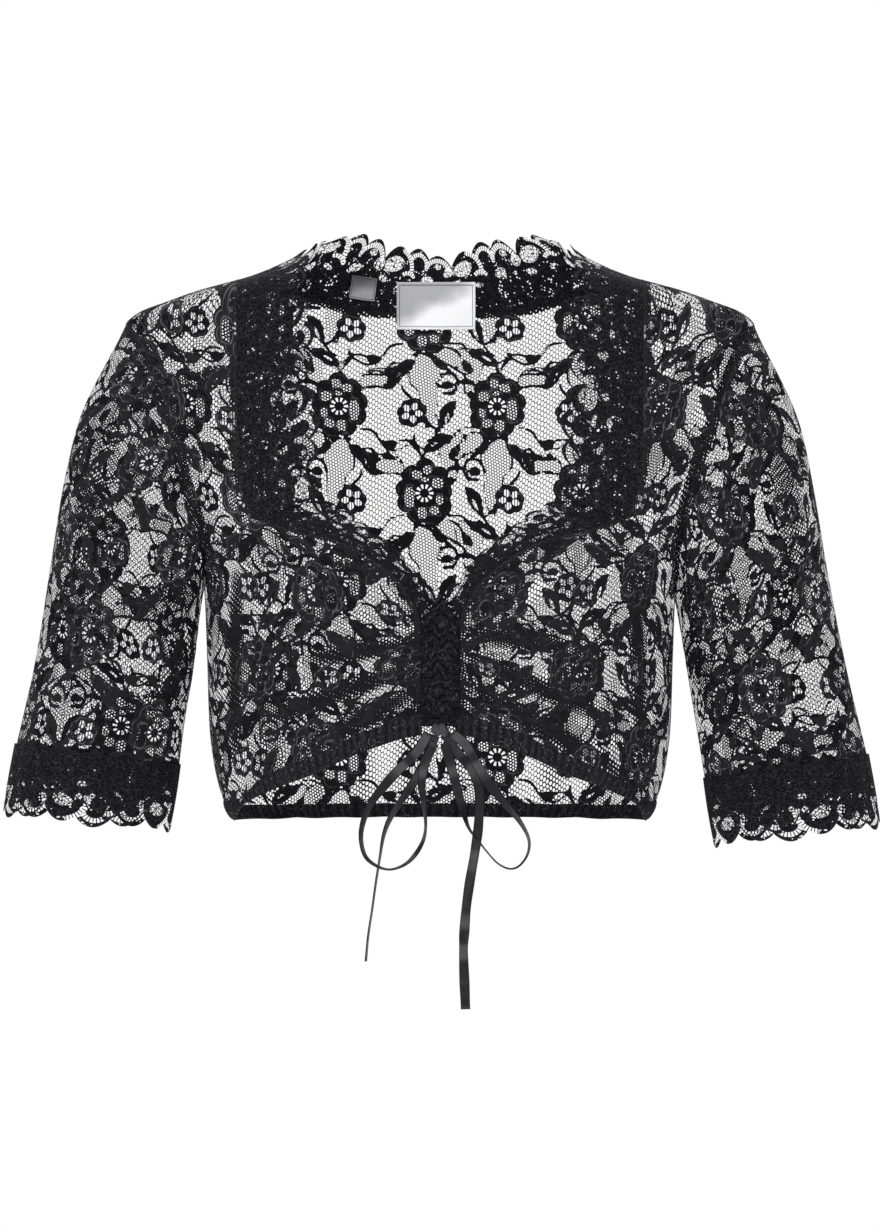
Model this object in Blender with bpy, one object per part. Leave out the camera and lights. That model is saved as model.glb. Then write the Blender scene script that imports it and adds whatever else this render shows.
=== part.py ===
# Black lace dirndl blouse: a hollow cloth form, filled out as it is worn.
# The front faces -Y. The origin is the middle of the neck hole, level with the shoulder seams.
import math

import bpy
import numpy as np

# Cloth and seams
WALL = 0.0012              # thickness of every cloth wall
SEAM_GAP = 0.0005          # clear space between two pieces at a seam
EDGING_GAP = 0.0008        # the same on the edging's own side, where its seam turns a corner
ARMHOLE_GAP = 0.0006       # the same where a sleeve meets the bodice at an angle
ROUNDNESS = 2.3            # exponent of the bodice's horizontal sections

# Rows along a bodice panel's outer edge: shoulder seam, armhole, side seam
SHOULDER_ROWS = 4
ARMHOLE_ROWS = 12
SIDE_ROWS = 8
# Rows along a front's inner edge: strap seam, sweetheart seam, centre
STRAP_ROWS = 11
STRAP_CROWDING = 1.5       # the rows lie closer together towards the shoulder
CUP_ROWS = 8
CENTRE_ROWS = 5
FRONT_COLUMNS = 11
BACK_COLUMNS = 28

# Hem
FRONT_HEM_HEIGHT = 0.0130
BACK_HEM_HEIGHT = 0.0085
BACK_HEM_Z = -0.3445

# Lace edging: big scallops of three lobes each
LOBE = 0.0192
LOBES_PER_SCALLOP = 3
EDGING_WIDTH = 0.045       # the edging from its seam to its lobes
SCALLOP_DEPTH = 0.0120
POINTS_PER_LOBE = 4
EDGING_ROWS = 3
CUFF_SCALLOPS = 5
CUFF_PROUD = 0.0008        # the cuff stands this far out of the sleeve

# Centre casing
CASING_HALF = 0.0110
CASING_TOP_Z = -0.2045
CASING_SHOULDER_Z = -0.2245
CASING_BOTTOM_Z = -0.2845
CASING_GATHERS = 13
CASING_RELIEF = 0.0020

# Bust
BUST_X = 0.083
BUST_Z = -0.218
BUST_PROUD = 0.027
BUST_WIDE = 0.052
BUST_TALL = 0.050

# Ribbon and bow
RIBBON_WIDTH = 0.0060
RIBBON_THICK = 0.0010
BOW = (0.0, -0.1012, -0.2868)
KNOT_SIZE = (0.0125, 0.0080, 0.0100)

# Bodice sections. Columns: height, half width, front depth, back depth
FIGURE = (
    (-0.3480, 0.1255, 0.0870, 0.0850),
    (-0.3350, 0.1330, 0.0890, 0.0880),
    (-0.3100, 0.1400, 0.0930, 0.0920),
    (-0.2850, 0.1430, 0.0960, 0.0950),
    (-0.2400, 0.1445, 0.1030, 0.0970),
    (-0.2000, 0.1463, 0.1030, 0.0990),
    (-0.1500, 0.1650, 0.0900, 0.0980),
    (-0.1000, 0.1900, 0.0750, 0.0900),
    (-0.0600, 0.1985, 0.0620, 0.0780),
    (-0.0366, 0.1947, 0.0570, 0.0690),
    (-0.0290, 0.1860, 0.0555, 0.0660),
    (-0.0223, 0.1686, 0.0545, 0.0630),
    (-0.0160, 0.1510, 0.0535, 0.0605),
    (-0.0093, 0.1265, 0.0525, 0.0580),
    (-0.0068, 0.1166, 0.0520, 0.0570),
    (-0.0005, 0.1000, 0.0505, 0.0550),
    (0.0056, 0.0887, 0.0490, 0.0525),
    (0.0130, 0.0812, 0.0470, 0.0500),
    (0.0300, 0.0740, 0.0420, 0.0440),
)

# Armhole seam as seen from the front. Columns: height, half width
ARMHOLE_LEFT = (
    (-0.0366, 0.1947), (-0.0539, 0.1823), (-0.0694, 0.1755), (-0.0834, 0.1702), (-0.1008, 0.1649),
    (-0.1215, 0.1614), (-0.1389, 0.1562), (-0.1560, 0.1500), (-0.1804, 0.1450), (-0.2003, 0.1463),
)
ARMHOLE_RIGHT = (
    (-0.0380, 0.1950), (-0.0484, 0.1879), (-0.0645, 0.1810), (-0.0800, 0.1755), (-0.1042, 0.1668),
    (-0.1234, 0.1600), (-0.1389, 0.1550), (-0.1562, 0.1504), (-0.1800, 0.1462), (-0.2080, 0.1461),
)

# Sleeve rings from the armhole to the cuff.
# Columns: share of the length, outer half width, outer height, inner half width, inner height,
# half depth, middle depth
SLEEVE_LEFT = (
    (0.00, 0.1947, -0.0366, 0.1463, -0.2003, 0.0470, 0.0040),
    (0.26, 0.2251, -0.0992, 0.1490, -0.2189, 0.0540, 0.0020),
    (0.44, 0.2345, -0.1407, 0.1505, -0.2325, 0.0550, 0.0000),
    (0.62, 0.2415, -0.1857, 0.1530, -0.2542, 0.0535, -0.0020),
    (0.82, 0.2505, -0.2430, 0.1571, -0.2778, 0.0505, -0.0040),
    (1.00, 0.2623, -0.2965, 0.1612, -0.3094, 0.0475, -0.0050),
)
SLEEVE_RIGHT = (
    (0.00, 0.1950, -0.0380, 0.1461, -0.2080, 0.0470, 0.0040),
    (0.26, 0.2240, -0.1010, 0.1490, -0.2260, 0.0540, 0.0020),
    (0.44, 0.2325, -0.1420, 0.1515, -0.2420, 0.0550, 0.0000),
    (0.62, 0.2400, -0.1880, 0.1545, -0.2620, 0.0535, -0.0020),
    (0.82, 0.2520, -0.2500, 0.1585, -0.2860, 0.0505, -0.0040),
    (1.00, 0.2645, -0.3030, 0.1636, -0.3179, 0.0475, -0.0050),
)
SLEEVE_ROWS = 10
SLEEVE_HEAD_SHARE = 0.55   # share of its length where the sleeve has left the armhole's shape

# Cuff mouths. Columns: outer half width, outer height, inner half width, inner height, half depth
CUFF_MOUTH_LEFT = (0.2700, -0.3415, 0.1680, -0.3515, 0.0480)
CUFF_MOUTH_RIGHT = (0.2722, -0.3490, 0.1705, -0.3610, 0.0480)
CUFF_MIDDLE_Y = -0.0060

# Seams of a front. Columns: half width, height
STRAP_SEAM = ((0.1255, -0.0093), (0.1250, -0.0600), (0.1245, -0.1180), (0.1215, -0.1400), (0.1145, -0.1580))
CUP_SEAM = ((0.1145, -0.1580), (0.0900, -0.1655), (0.0600, -0.1730), (0.0400, -0.1840), (0.0250, -0.1965),
            (0.0150, -0.2120), (0.0110, -0.2245))
# Free edges of the edging. Columns: half width, height
STRAP_FREE = ((0.0812, 0.0130), (0.0795, -0.0100), (0.0760, -0.0500), (0.0730, -0.1000), (0.0685, -0.1440))
CUP_FREE = ((0.0685, -0.1440), (0.0560, -0.1530), (0.0350, -0.1680), (0.0180, -0.1860), (0.0004, -0.2035))
CUP_LEAN = 0.010           # the cup edging leans back this far at its free edge
BACK_SEAM = ((0.1255, -0.0093), (0.1100, -0.0125), (0.0940, -0.0155), (0.0760, -0.0195), (0.0510, -0.0255),
             (0.0250, -0.0267), (0.0000, -0.0267))
BACK_FREE = ((0.0812, 0.0130), (0.0680, 0.0175), (0.0520, 0.0215), (0.0350, 0.0205), (0.0200, 0.0150),
             (0.0000, 0.0100))
# Lower edge of the front. Columns: half width, height
FRONT_HEM = ((0.0000, -0.2880), (0.0200, -0.2915), (0.0390, -0.2980), (0.0560, -0.3050), (0.0740, -0.3140),
             (0.0935, -0.3215), (0.1120, -0.3305), (0.1270, -0.3450))

# Largest folds of the bodice.
# Columns: face, x and z where it starts, x and z where it ends, height, half width
FOLDS = (
    ("front", -0.0130, -0.2470, -0.1050, -0.2790, 0.0042, 0.0085),
    ("front", 0.0130, -0.2560, 0.1150, -0.3160, 0.0042, 0.0085),
    ("front", -0.0130, -0.2620, -0.0850, -0.3010, 0.0030, 0.0080),
    ("front", 0.0130, -0.2400, 0.0950, -0.2760, 0.0030, 0.0080),
    ("front", -0.0140, -0.2340, -0.0800, -0.2440, 0.0024, 0.0080),
    ("front", 0.0140, -0.2270, 0.0780, -0.2360, 0.0024, 0.0080),
    ("front", -0.1240, -0.1900, -0.1260, -0.3080, 0.0030, 0.0070),
    ("front", 0.1180, -0.1900, 0.1240, -0.3080, 0.0030, 0.0070),
    ("back", -0.1080, -0.2500, -0.1020, -0.3480, 0.0028, 0.0080),
    ("back", -0.0800, -0.2800, -0.0760, -0.3480, 0.0030, 0.0080),
    ("back", -0.0510, -0.2600, -0.0500, -0.3480, 0.0028, 0.0080),
    ("back", -0.0180, -0.2750, -0.0200, -0.3480, 0.0030, 0.0080),
    ("back", 0.0110, -0.2550, 0.0100, -0.3480, 0.0028, 0.0080),
    ("back", 0.0420, -0.2800, 0.0400, -0.3480, 0.0030, 0.0080),
    ("back", 0.0740, -0.2600, 0.0700, -0.3480, 0.0028, 0.0080),
    ("back", 0.1040, -0.2750, 0.0990, -0.3480, 0.0030, 0.0080),
)

# Soft folds of a sleeve.
# Columns: turn round the sleeve in degrees and share of the length where it starts, the same
# where it ends, height, half width
SLEEVE_FOLDS = (
    (150.0, 0.14, 95.0, 0.60, 0.0030, 0.010),
    (168.0, 0.30, 120.0, 0.90, 0.0030, 0.010),
    (-150.0, 0.14, -100.0, 0.62, 0.0030, 0.010),
    (-165.0, 0.34, -118.0, 0.92, 0.0028, 0.010),
    (40.0, 0.16, 55.0, 0.72, 0.0022, 0.012),
    (-42.0, 0.16, -60.0, 0.70, 0.0022, 0.012),
)

# Ribbon routes seen from the front. Columns: x, depth in front of the bow's middle, z, turn of
# the ribbon in degrees (0 shows its edge, 90 its face)
LOOP_LEFT = (
    (-0.0070, 0.0005, -0.2885, 20), (-0.0136, 0.0010, -0.2995, 30), (-0.0273, 0.0015, -0.3131, 40),
    (-0.0388, 0.0015, -0.3267, 50), (-0.0446, 0.0015, -0.3364, 55), (-0.0479, 0.0015, -0.3500, 60),
    (-0.0456, 0.0010, -0.3625, 60), (-0.0385, 0.0005, -0.3690, 55), (-0.0300, 0.0000, -0.3712, 50),
    (-0.0210, 0.0000, -0.3680, 50), (-0.0145, 0.0000, -0.3615, 50), (-0.0100, 0.0000, -0.3530, 45),
    (-0.0087, 0.0000, -0.3435, 40), (-0.0100, 0.0000, -0.3300, 35), (-0.0112, 0.0000, -0.3187, 30),
    (-0.0087, 0.0000, -0.3053, 20), (-0.0036, 0.0000, -0.2945, 10),
)
LOOP_RIGHT = (
    (0.0070, 0.0005, -0.2885, -20), (0.0155, 0.0010, -0.2957, -30), (0.0233, 0.0015, -0.3092, -40),
    (0.0310, 0.0015, -0.3209, -50), (0.0388, 0.0015, -0.3305, -55), (0.0484, 0.0015, -0.3422, -60),
    (0.0538, 0.0010, -0.3530, -60), (0.0530, 0.0010, -0.3620, -55), (0.0480, 0.0005, -0.3690, -50),
    (0.0420, 0.0000, -0.3708, -50), (0.0350, 0.0000, -0.3675, -50), (0.0285, 0.0000, -0.3605, -50),
    (0.0232, 0.0000, -0.3537, -45), (0.0174, 0.0000, -0.3459, -40), (0.0136, 0.0000, -0.3342, -35),
    (0.0105, 0.0000, -0.3228, -30), (0.0058, 0.0000, -0.3053, -20), (0.0030, 0.0000, -0.2945, -10),
)
TAIL_LEFT = (
    (-0.0034, -0.0038, -0.2896, 90), (-0.0052, -0.0058, -0.2960, 88), (-0.0095, -0.0070, -0.3070, 75),
    (-0.0190, -0.0080, -0.3230, 50),
    (-0.0290, -0.0080, -0.3380, 35), (-0.0340, -0.0075, -0.3500, 20), (-0.0366, -0.0070, -0.3650, 12),
    (-0.0390, -0.0065, -0.3800, 10), (-0.0412, -0.0060, -0.3960, 10), (-0.0436, -0.0060, -0.4120, 10),
    (-0.0450, -0.0060, -0.4272, 12),
)
TAIL_RIGHT = (
    (0.0036, -0.0038, -0.2896, -90), (0.0072, -0.0060, -0.2960, -88), (0.0132, -0.0074, -0.3035, -84),
    (0.0200, -0.0085, -0.3120, -80),
    (0.0238, -0.0085, -0.3240, -75), (0.0234, -0.0080, -0.3440, -70), (0.0211, -0.0075, -0.3615, -70),
    (0.0184, -0.0070, -0.3770, -70), (0.0160, -0.0065, -0.3940, -75), (0.0148, -0.0060, -0.4090, -80),
    (0.0143, -0.0060, -0.4180, -60), (0.0145, -0.0060, -0.4300, -75), (0.0155, -0.0060, -0.4563, -80),
)

# Labels inside the back neck. Columns: middle x, middle z, width, height, tilt in degrees
LABEL_MAIN = (-0.0025, -0.0220, 0.0496, 0.0291, 0.0)
LABEL_SIZE = (-0.0484, -0.0112, 0.0160, 0.0140, -8.0)
LABEL_THICK = 0.0010
LABEL_CLEAR = 0.0007

# Finishes. Columns: name, colour, roughness, metallic
LACE = ("lace_net", (0.016, 0.016, 0.018, 1.0), 0.80, 0.0)
GALLOON = ("lace_edging", (0.012, 0.012, 0.014, 1.0), 0.78, 0.0)
CASING = ("casing_cloth", (0.014, 0.014, 0.016, 1.0), 0.82, 0.0)
SATIN = ("ribbon_satin", (0.020, 0.020, 0.024, 1.0), 0.32, 0.0)
LABEL = ("label_satin", (0.72, 0.71, 0.70, 1.0), 0.38, 0.0)


# Curves and tables

def smooth_curve(places, values):
    """Return a function that runs through the values without overshooting them."""
    places = np.asarray(places, float)
    values = np.asarray(values, float)
    steps = np.diff(places)
    rises = np.diff(values) / steps
    slopes = np.zeros(len(places))
    slopes[0] = rises[0]
    slopes[-1] = rises[-1]
    for i in range(1, len(places) - 1):
        if rises[i - 1] * rises[i] > 0:
            before = 2 * steps[i] + steps[i - 1]
            after = steps[i] + 2 * steps[i - 1]
            slopes[i] = (before + after) / (before / rises[i - 1] + after / rises[i])

    def curve(x):
        x = np.clip(np.asarray(x, float), places[0], places[-1])
        i = np.clip(np.searchsorted(places, x) - 1, 0, len(steps) - 1)
        t = (x - places[i]) / steps[i]
        return ((2 * t**3 - 3 * t**2 + 1) * values[i] + (t**3 - 2 * t**2 + t) * steps[i] * slopes[i]
                + (3 * t**2 - 2 * t**3) * values[i + 1] + (t**3 - t**2) * steps[i] * slopes[i + 1])

    return curve


HALF_WIDTH, FRONT_DEPTH, BACK_DEPTH = (
    smooth_curve([row[0] for row in FIGURE], [row[k] for row in FIGURE]) for k in (1, 2, 3))
HEM_LINE = smooth_curve([row[0] for row in FRONT_HEM], [row[1] for row in FRONT_HEM])
UPPER = [row for row in FIGURE if row[0] >= -0.0366]
RIDGE = smooth_curve([-row[1] for row in UPPER], [row[0] for row in UPPER])
RIDGE_REACH = 0.015        # how far below the shoulder ridge a line still follows it


def lengths_of(points):
    return np.concatenate(([0.0], np.cumsum(np.linalg.norm(np.diff(points, axis=0), axis=1))))


def unit(v):
    return v / np.maximum(np.linalg.norm(v, axis=-1, keepdims=True), 1e-12)


def signed_power(v):
    return np.sign(v) * np.abs(v) ** (2 / ROUNDNESS)


def turn_at(x, z):
    """Angle round the bodice at half width x and height z: 0 in the middle, 90 degrees at the side."""
    ratio = np.clip(x / HALF_WIDTH(z), -1.0, 1.0)
    return np.arcsin(np.sign(ratio) * np.abs(ratio) ** (ROUNDNESS / 2))


# The bodice's surface

def plain_figure(face, turn, z):
    side = -1.0 if face == "front" else 1.0
    cosine = np.cos(turn)
    depths = {"front": FRONT_DEPTH(z), "back": BACK_DEPTH(z)}
    other = "back" if face == "front" else "front"
    depth = np.where(cosine >= 0, depths[face], depths[other])
    x = HALF_WIDTH(z) * signed_power(np.sin(turn))
    y = side * depth * signed_power(cosine)
    near = np.exp(-((np.abs(x) - BUST_X) / BUST_WIDE) ** 2 - ((z - BUST_Z) / BUST_TALL) ** 2)
    bust = BUST_PROUD * near * np.clip(cosine if face == "front" else -cosine, 0.0, 1.0)
    return np.stack([x, y - bust, z + 0 * x], axis=-1)


def figure_normal(face, turn, z):
    across = plain_figure(face, turn + 0.03, z) - plain_figure(face, turn - 0.03, z)
    up = plain_figure(face, turn, z + 0.0015) - plain_figure(face, turn, z - 0.0015)
    normal = unit(np.cross(across, up)) * (1.0 if face == "front" else -1.0)
    # On the shoulder ridge and the side seam it points straight out to the side
    normal[..., 1] *= np.abs(np.cos(turn)) > 1e-6
    return unit(normal)


def fold_height(face, x, z):
    height = np.zeros(np.broadcast(x, z).shape)
    for fold_face, x0, z0, x1, z1, high, half in FOLDS:
        if fold_face != face:
            continue
        run = (x1 - x0) ** 2 + (z1 - z0) ** 2
        t = np.clip(((x - x0) * (x1 - x0) + (z - z0) * (z1 - z0)) / run, 0.0, 1.0)
        away = ((x - x0 - t * (x1 - x0)) ** 2 + (z - z0 - t * (z1 - z0)) ** 2) / half**2
        height = height + high * np.exp(-away) * (0.35 + 0.65 * np.sin(math.pi * np.clip(t, 0.0, 1.0)) ** 0.5)
    return height


def figure(face, turn, z):
    """Points of the bodice's outer surface and the directions out of it."""
    turn, z = np.broadcast_arrays(np.asarray(turn, float), np.asarray(z, float))
    base = plain_figure(face, turn, z)
    normal = figure_normal(face, turn, z)
    fade = np.clip(np.abs(np.cos(turn)) / 0.35, 0.0, 1.0)
    points = base + normal * (fold_height(face, base[..., 0], z) * fade)[..., None]
    return points, normal


def on_figure(face, x, z):
    return figure(face, turn_at(x, z), z)


def along(table, count, face, crowding=1.0):
    """Points of a line of (half width, height) rows on the bodice, at even steps of its length.

    A crowding over 1 brings the points closer together towards the line's start.
    """
    table = np.asarray(table, float)
    lengths = lengths_of(table)
    fine = np.linspace(0.0, lengths[-1], 400)
    x, z = (smooth_curve(lengths, table[:, k])(fine) for k in (0, 1))
    travelled = lengths_of(plain_figure(face, turn_at(x, z), z))
    wanted = travelled[-1] * np.linspace(0.0, 1.0, count + 1) ** crowding
    return np.stack([np.interp(wanted, travelled, x), np.interp(wanted, travelled, z)], axis=1)


# Walls

def make_object(name, points, faces, finish):
    mesh = bpy.data.meshes.new(name)
    mesh.from_pydata([tuple(p) for p in points], [], faces)
    mesh.update()
    volume = 0.0
    for face in faces:
        first = points[face[0]]
        for a, b in zip(face[1:-1], face[2:]):
            volume += float(np.dot(first, np.cross(points[a], points[b])))
    if volume < 0:
        mesh.flip_normals()
    mesh.shade_smooth()
    mesh.set_sharp_from_angle(angle=math.radians(50))
    piece = bpy.data.objects.new(name, mesh)
    piece.data.materials.append(material(*finish))
    bpy.context.scene.collection.objects.link(piece)
    return piece


def material(name, colour, roughness, metallic):
    found = bpy.data.materials.get(name)
    if found:
        return found
    found = bpy.data.materials.new(name)
    found.use_nodes = True
    shader = found.node_tree.nodes["Principled BSDF"]
    shader.inputs["Base Color"].default_value = colour
    shader.inputs["Roughness"].default_value = roughness
    shader.inputs["Metallic"].default_value = metallic
    found.diffuse_color = colour
    return found


def wall(name, outer, inner, finish, ring=False):
    """Close two grids of points, outer and inner, into one wall. A ring joins its last column to its first."""
    rows, columns = outer.shape[:2]
    points = np.concatenate([outer.reshape(-1, 3), inner.reshape(-1, 3)])
    half = rows * columns
    faces = []
    last = columns if ring else columns - 1
    for i in range(rows - 1):
        for j in range(last):
            a, b = i * columns + j, i * columns + (j + 1) % columns
            c, d = b + columns, a + columns
            faces.append((a, b, c, d))
            faces.append((half + d, half + c, half + b, half + a))
    for i, forward in ((0, False), (rows - 1, True)):
        for j in range(last):
            a, b = i * columns + j, i * columns + (j + 1) % columns
            strip = (a, half + a, half + b, b)
            faces.append(strip[::-1] if forward else strip)
    if not ring:
        for j, forward in ((0, True), (columns - 1, False)):
            for i in range(rows - 1):
                a, d = i * columns + j, (i + 1) * columns + j
                strip = (a, half + a, half + d, d)
                faces.append(strip[::-1] if forward else strip)
    return make_object(name, points, faces, finish)


def into_piece(points, normals, edge):
    """Direction in the surface, square to an edge of the grid, that points into the piece."""
    if edge in ("first_row", "last_row"):
        line = 0 if edge == "first_row" else -1
        rim, rim_normal = points[line], normals[line]
        inward = points[1 if line == 0 else -2] - rim
    else:
        line = 0 if edge == "first_column" else -1
        rim, rim_normal = points[:, line], normals[:, line]
        inward = points[:, 1 if line == 0 else -2] - rim
    square = unit(np.cross(rim_normal, np.gradient(rim, axis=0)))
    return square * np.sign(np.sum(square * inward))


def pull_in(points, normals, edges, amount=SEAM_GAP / 2):
    """Move the named edges of a grid a little into the piece, to leave the seam's gap."""
    rims = {"first_row": (0, slice(None)), "last_row": (-1, slice(None)),
            "first_column": (slice(None), 0), "last_column": (slice(None), -1)}
    steps = {edge: into_piece(points, normals, edge) for edge in edges}
    moved = points.copy()
    for edge, step in steps.items():
        moved[rims[edge]] += step * amount
    # A sharp corner moves further, until it is clear of both of its seams
    for row, row_edge in ((0, "first_row"), (-1, "last_row")):
        for column, column_edge in ((0, "first_column"), (-1, "last_column")):
            if row_edge in steps and column_edge in steps:
                one, other = steps[row_edge][column], steps[column_edge][row]
                lean = max(1.0 + float(np.dot(one, other)), 0.15)
                moved[row, column] += (one + other) * amount * (1 / lean - 1)
    return moved


def clear_of_seam(seam, outer, inner, into, parting):
    """Push the two rims of a wall into the piece until both lie on their side of the parting plane."""
    for rim in (outer, inner):
        for k in range(len(seam)):
            short = ARMHOLE_GAP / 2 - float(np.dot(rim[k] - seam[k], parting[k]))
            if short > 0:
                rim[k] += into[k] * short / max(float(np.dot(into[k], parting[k])), 0.12)


# Bodice panels

def armhole_line(table, samples):
    """Half width and height of the armhole seam for angles from the shoulder (0) to the armpit (180)."""
    heights = [row[0] for row in reversed(table)]
    widths = [row[1] for row in reversed(table)]
    top, low = table[0][0], table[-1][0]
    z = (top + low) / 2 + (top - low) / 2 * np.cos(samples)
    return smooth_curve(heights, widths)(z), z


def outer_edge(side):
    """Angle and height along the outer edge of a bodice panel: shoulder seam, armhole, side seam."""
    table = ARMHOLE_RIGHT if side > 0 else ARMHOLE_LEFT
    shoulder_z = table[0][0]
    armpit_z = table[-1][0]
    ridge_z = np.linspace(STRAP_SEAM[0][1], shoulder_z, SHOULDER_ROWS + 1)
    ridge_z[0] -= 0.0014
    samples = np.linspace(0.0, math.pi, ARMHOLE_ROWS + 1)
    x, z = armhole_line(table, samples)
    turn = np.minimum(turn_at(x, z), math.pi / 2 - 0.30 * np.sin(samples))
    turn[0] = turn[-1] = math.pi / 2
    side_z = np.linspace(armpit_z, -0.3335, SIDE_ROWS + 1)
    turns = np.concatenate([np.full(SHOULDER_ROWS, math.pi / 2), turn, np.full(SIDE_ROWS, math.pi / 2)])
    heights = np.concatenate([ridge_z[:-1], z, side_z[1:]])
    return turns, heights


def ease(t):
    t = np.clip(t, 0.0, 1.0)
    return t * t * (3 - 2 * t)


def front_grid(side):
    outer_turn, outer_z = outer_edge(side)
    inner = np.concatenate([
        along(STRAP_SEAM, STRAP_ROWS, "front", STRAP_CROWDING),
        along(CUP_SEAM, CUP_ROWS, "front")[1:],
        along(((CASING_HALF, CASING_SHOULDER_Z), (CASING_HALF, -0.2705)), CENTRE_ROWS, "front")[1:],
    ])
    inner[-1, 1] = HEM_LINE(CASING_HALF) + FRONT_HEM_HEIGHT
    inner_turn = turn_at(inner[:, 0], inner[:, 1])
    inner_turn[0] = math.pi / 2
    s = np.linspace(0.0, 1.0, FRONT_COLUMNS + 1)[None, :]
    turn = inner_turn[:, None] * (1 - s) + outer_turn[:, None] * s
    z = inner[:, 1][:, None] * (1 - s) + outer_z[:, None] * s
    # The last rows bend down to the arched hem
    last_x = HALF_WIDTH(z[-1]) * signed_power(np.sin(turn[-1]))
    drop = HEM_LINE(np.minimum(last_x, FRONT_HEM[-1][0])) + FRONT_HEM_HEIGHT - z[-1]
    drop[0] = drop[-1] = 0.0
    rows = np.arange(len(inner))
    share = ease((rows - (STRAP_ROWS + 4)) / (rows[-1] - STRAP_ROWS - 4))
    z = z + share[:, None] * drop[None, :]
    return side * turn, z


def back_grid():
    right_turn, right_z = outer_edge(1)
    left_turn, left_z = outer_edge(-1)
    seam = along(BACK_SEAM, BACK_COLUMNS // 2, "back")
    seam_turn = turn_at(seam[:, 0], seam[:, 1])
    seam_turn[0] = math.pi / 2
    top_turn = np.concatenate([-seam_turn, seam_turn[::-1][1:]])
    top_z = np.concatenate([seam[:, 1], seam[::-1, 1][1:]])
    right_turn[0] = left_turn[0] = math.pi / 2
    right_z[0] = left_z[0] = STRAP_SEAM[0][1]
    s = np.linspace(0.0, 1.0, BACK_COLUMNS + 1)[None, :]
    turn = -left_turn[:, None] * (1 - s) + right_turn[:, None] * s
    z = left_z[:, None] * (1 - s) + right_z[:, None] * s
    rows = np.arange(len(left_z))
    share = 1 - ease((rows - SHOULDER_ROWS) / ARMHOLE_ROWS)
    spread = 1 - ease(rows / SHOULDER_ROWS)
    turn = turn + spread[:, None] * (top_turn - turn[0])[None, :]
    z = z + share[:, None] * (top_z - z[0])[None, :]
    # The lower edge is level, just above the hem band
    level = ease((rows - SHOULDER_ROWS - ARMHOLE_ROWS) / SIDE_ROWS)
    sag = BACK_HEM_Z + BACK_HEM_HEIGHT - z[-1]
    sag[0] = sag[-1] = 0.0
    z = z + level[:, None] * sag[None, :]
    return turn, z


def armhole_rows():
    return slice(SHOULDER_ROWS, SHOULDER_ROWS + ARMHOLE_ROWS + 1)


# Sleeves

def sleeve_rings(side, shares):
    table = SLEEVE_RIGHT if side > 0 else SLEEVE_LEFT
    columns = [smooth_curve([row[0] for row in table], [row[k] for row in table])(shares) for k in range(1, 7)]
    outer_x, outer_z, inner_x, inner_z, half_depth, middle = columns
    zero = 0 * shares
    centre = np.stack([side * (outer_x + inner_x) / 2, middle, (outer_z + inner_z) / 2], axis=-1)
    reach = np.stack([side * (outer_x - inner_x) / 2, zero, (outer_z - inner_z) / 2], axis=-1)
    return centre, reach, half_depth


def sleeve_fold(turn, share):
    height = np.zeros(np.broadcast(turn, share).shape)
    for turn0, share0, turn1, share1, high, half in SLEEVE_FOLDS:
        round_x = (np.degrees(turn) - turn0) / 1000.0
        down = (share - share0) * 0.19
        run_x, run_down = (turn1 - turn0) / 1000.0, (share1 - share0) * 0.19
        t = np.clip((round_x * run_x + down * run_down) / (run_x**2 + run_down**2), 0.0, 1.0)
        away = ((round_x - t * run_x) ** 2 + (down - t * run_down) ** 2) / half**2
        height = height + high * np.exp(-away) * np.sin(math.pi * t) ** 0.5
    return height


def sleeve_surface(side, turn, share, armhole):
    """Points of a sleeve. turn runs from the top (0) past the front (90) to the armpit (180)."""
    centre, reach, half_depth = sleeve_rings(side, share)
    plane = (centre + reach * np.cos(turn)[..., None])
    plane[..., 1] -= half_depth * np.sin(turn)
    first_centre, first_reach, first_depth = sleeve_rings(side, 0 * share)
    first = first_centre + first_reach * np.cos(turn)[..., None]
    first[..., 1] -= first_depth * np.sin(turn)
    weight = 1 - ease(share / SLEEVE_HEAD_SHARE)
    return plane + (armhole - first) * weight[..., None]


def grid_normals(points, ring):
    """Directions square to a grid of points."""
    down = np.gradient(points, axis=0)
    if ring:
        round_it = (np.roll(points, -1, axis=1) - np.roll(points, 1, axis=1)) / 2
    else:
        round_it = np.gradient(points, axis=1)
    return unit(np.cross(down, round_it))


def sleeve_grid(side, front_seam, back_seam):
    """Outer points of a sleeve, its normals, and the angles of its columns."""
    loop = np.concatenate([front_seam, back_seam[::-1][1:-1]])
    count = len(loop)
    turns = np.linspace(0.0, 2 * math.pi, count + 1)[:-1]
    shares = np.linspace(0.0, 1.0, SLEEVE_ROWS + 1) ** 1.15
    turn, share = np.broadcast_arrays(turns[None, :], shares[:, None])
    points = sleeve_surface(side, turn, share, np.broadcast_to(loop[None], turn.shape + (3,)))
    normals = grid_normals(points, True) * side
    centre = points.mean(axis=1, keepdims=True)
    if np.sum(normals[SLEEVE_ROWS // 2] * (points - centre)[SLEEVE_ROWS // 2]) < 0:
        normals = -normals
    wrapped = np.where(turn > math.pi, turn - 2 * math.pi, turn)
    height = sleeve_fold(wrapped, share) * ease(share / 0.2) * ease((1 - share) / 0.12)
    return points + normals * height[..., None], normals


# Scalloped edging

def scallop(lobes):
    """Reach of the free edge, 0 in the deepest notch and 1 on the highest lobe, after so many lobes."""
    big = np.abs(np.sin(math.pi * lobes / LOBES_PER_SCALLOP))
    small = np.abs(np.sin(math.pi * lobes))
    return 0.55 * big**0.7 + 0.45 * small**0.8


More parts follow.
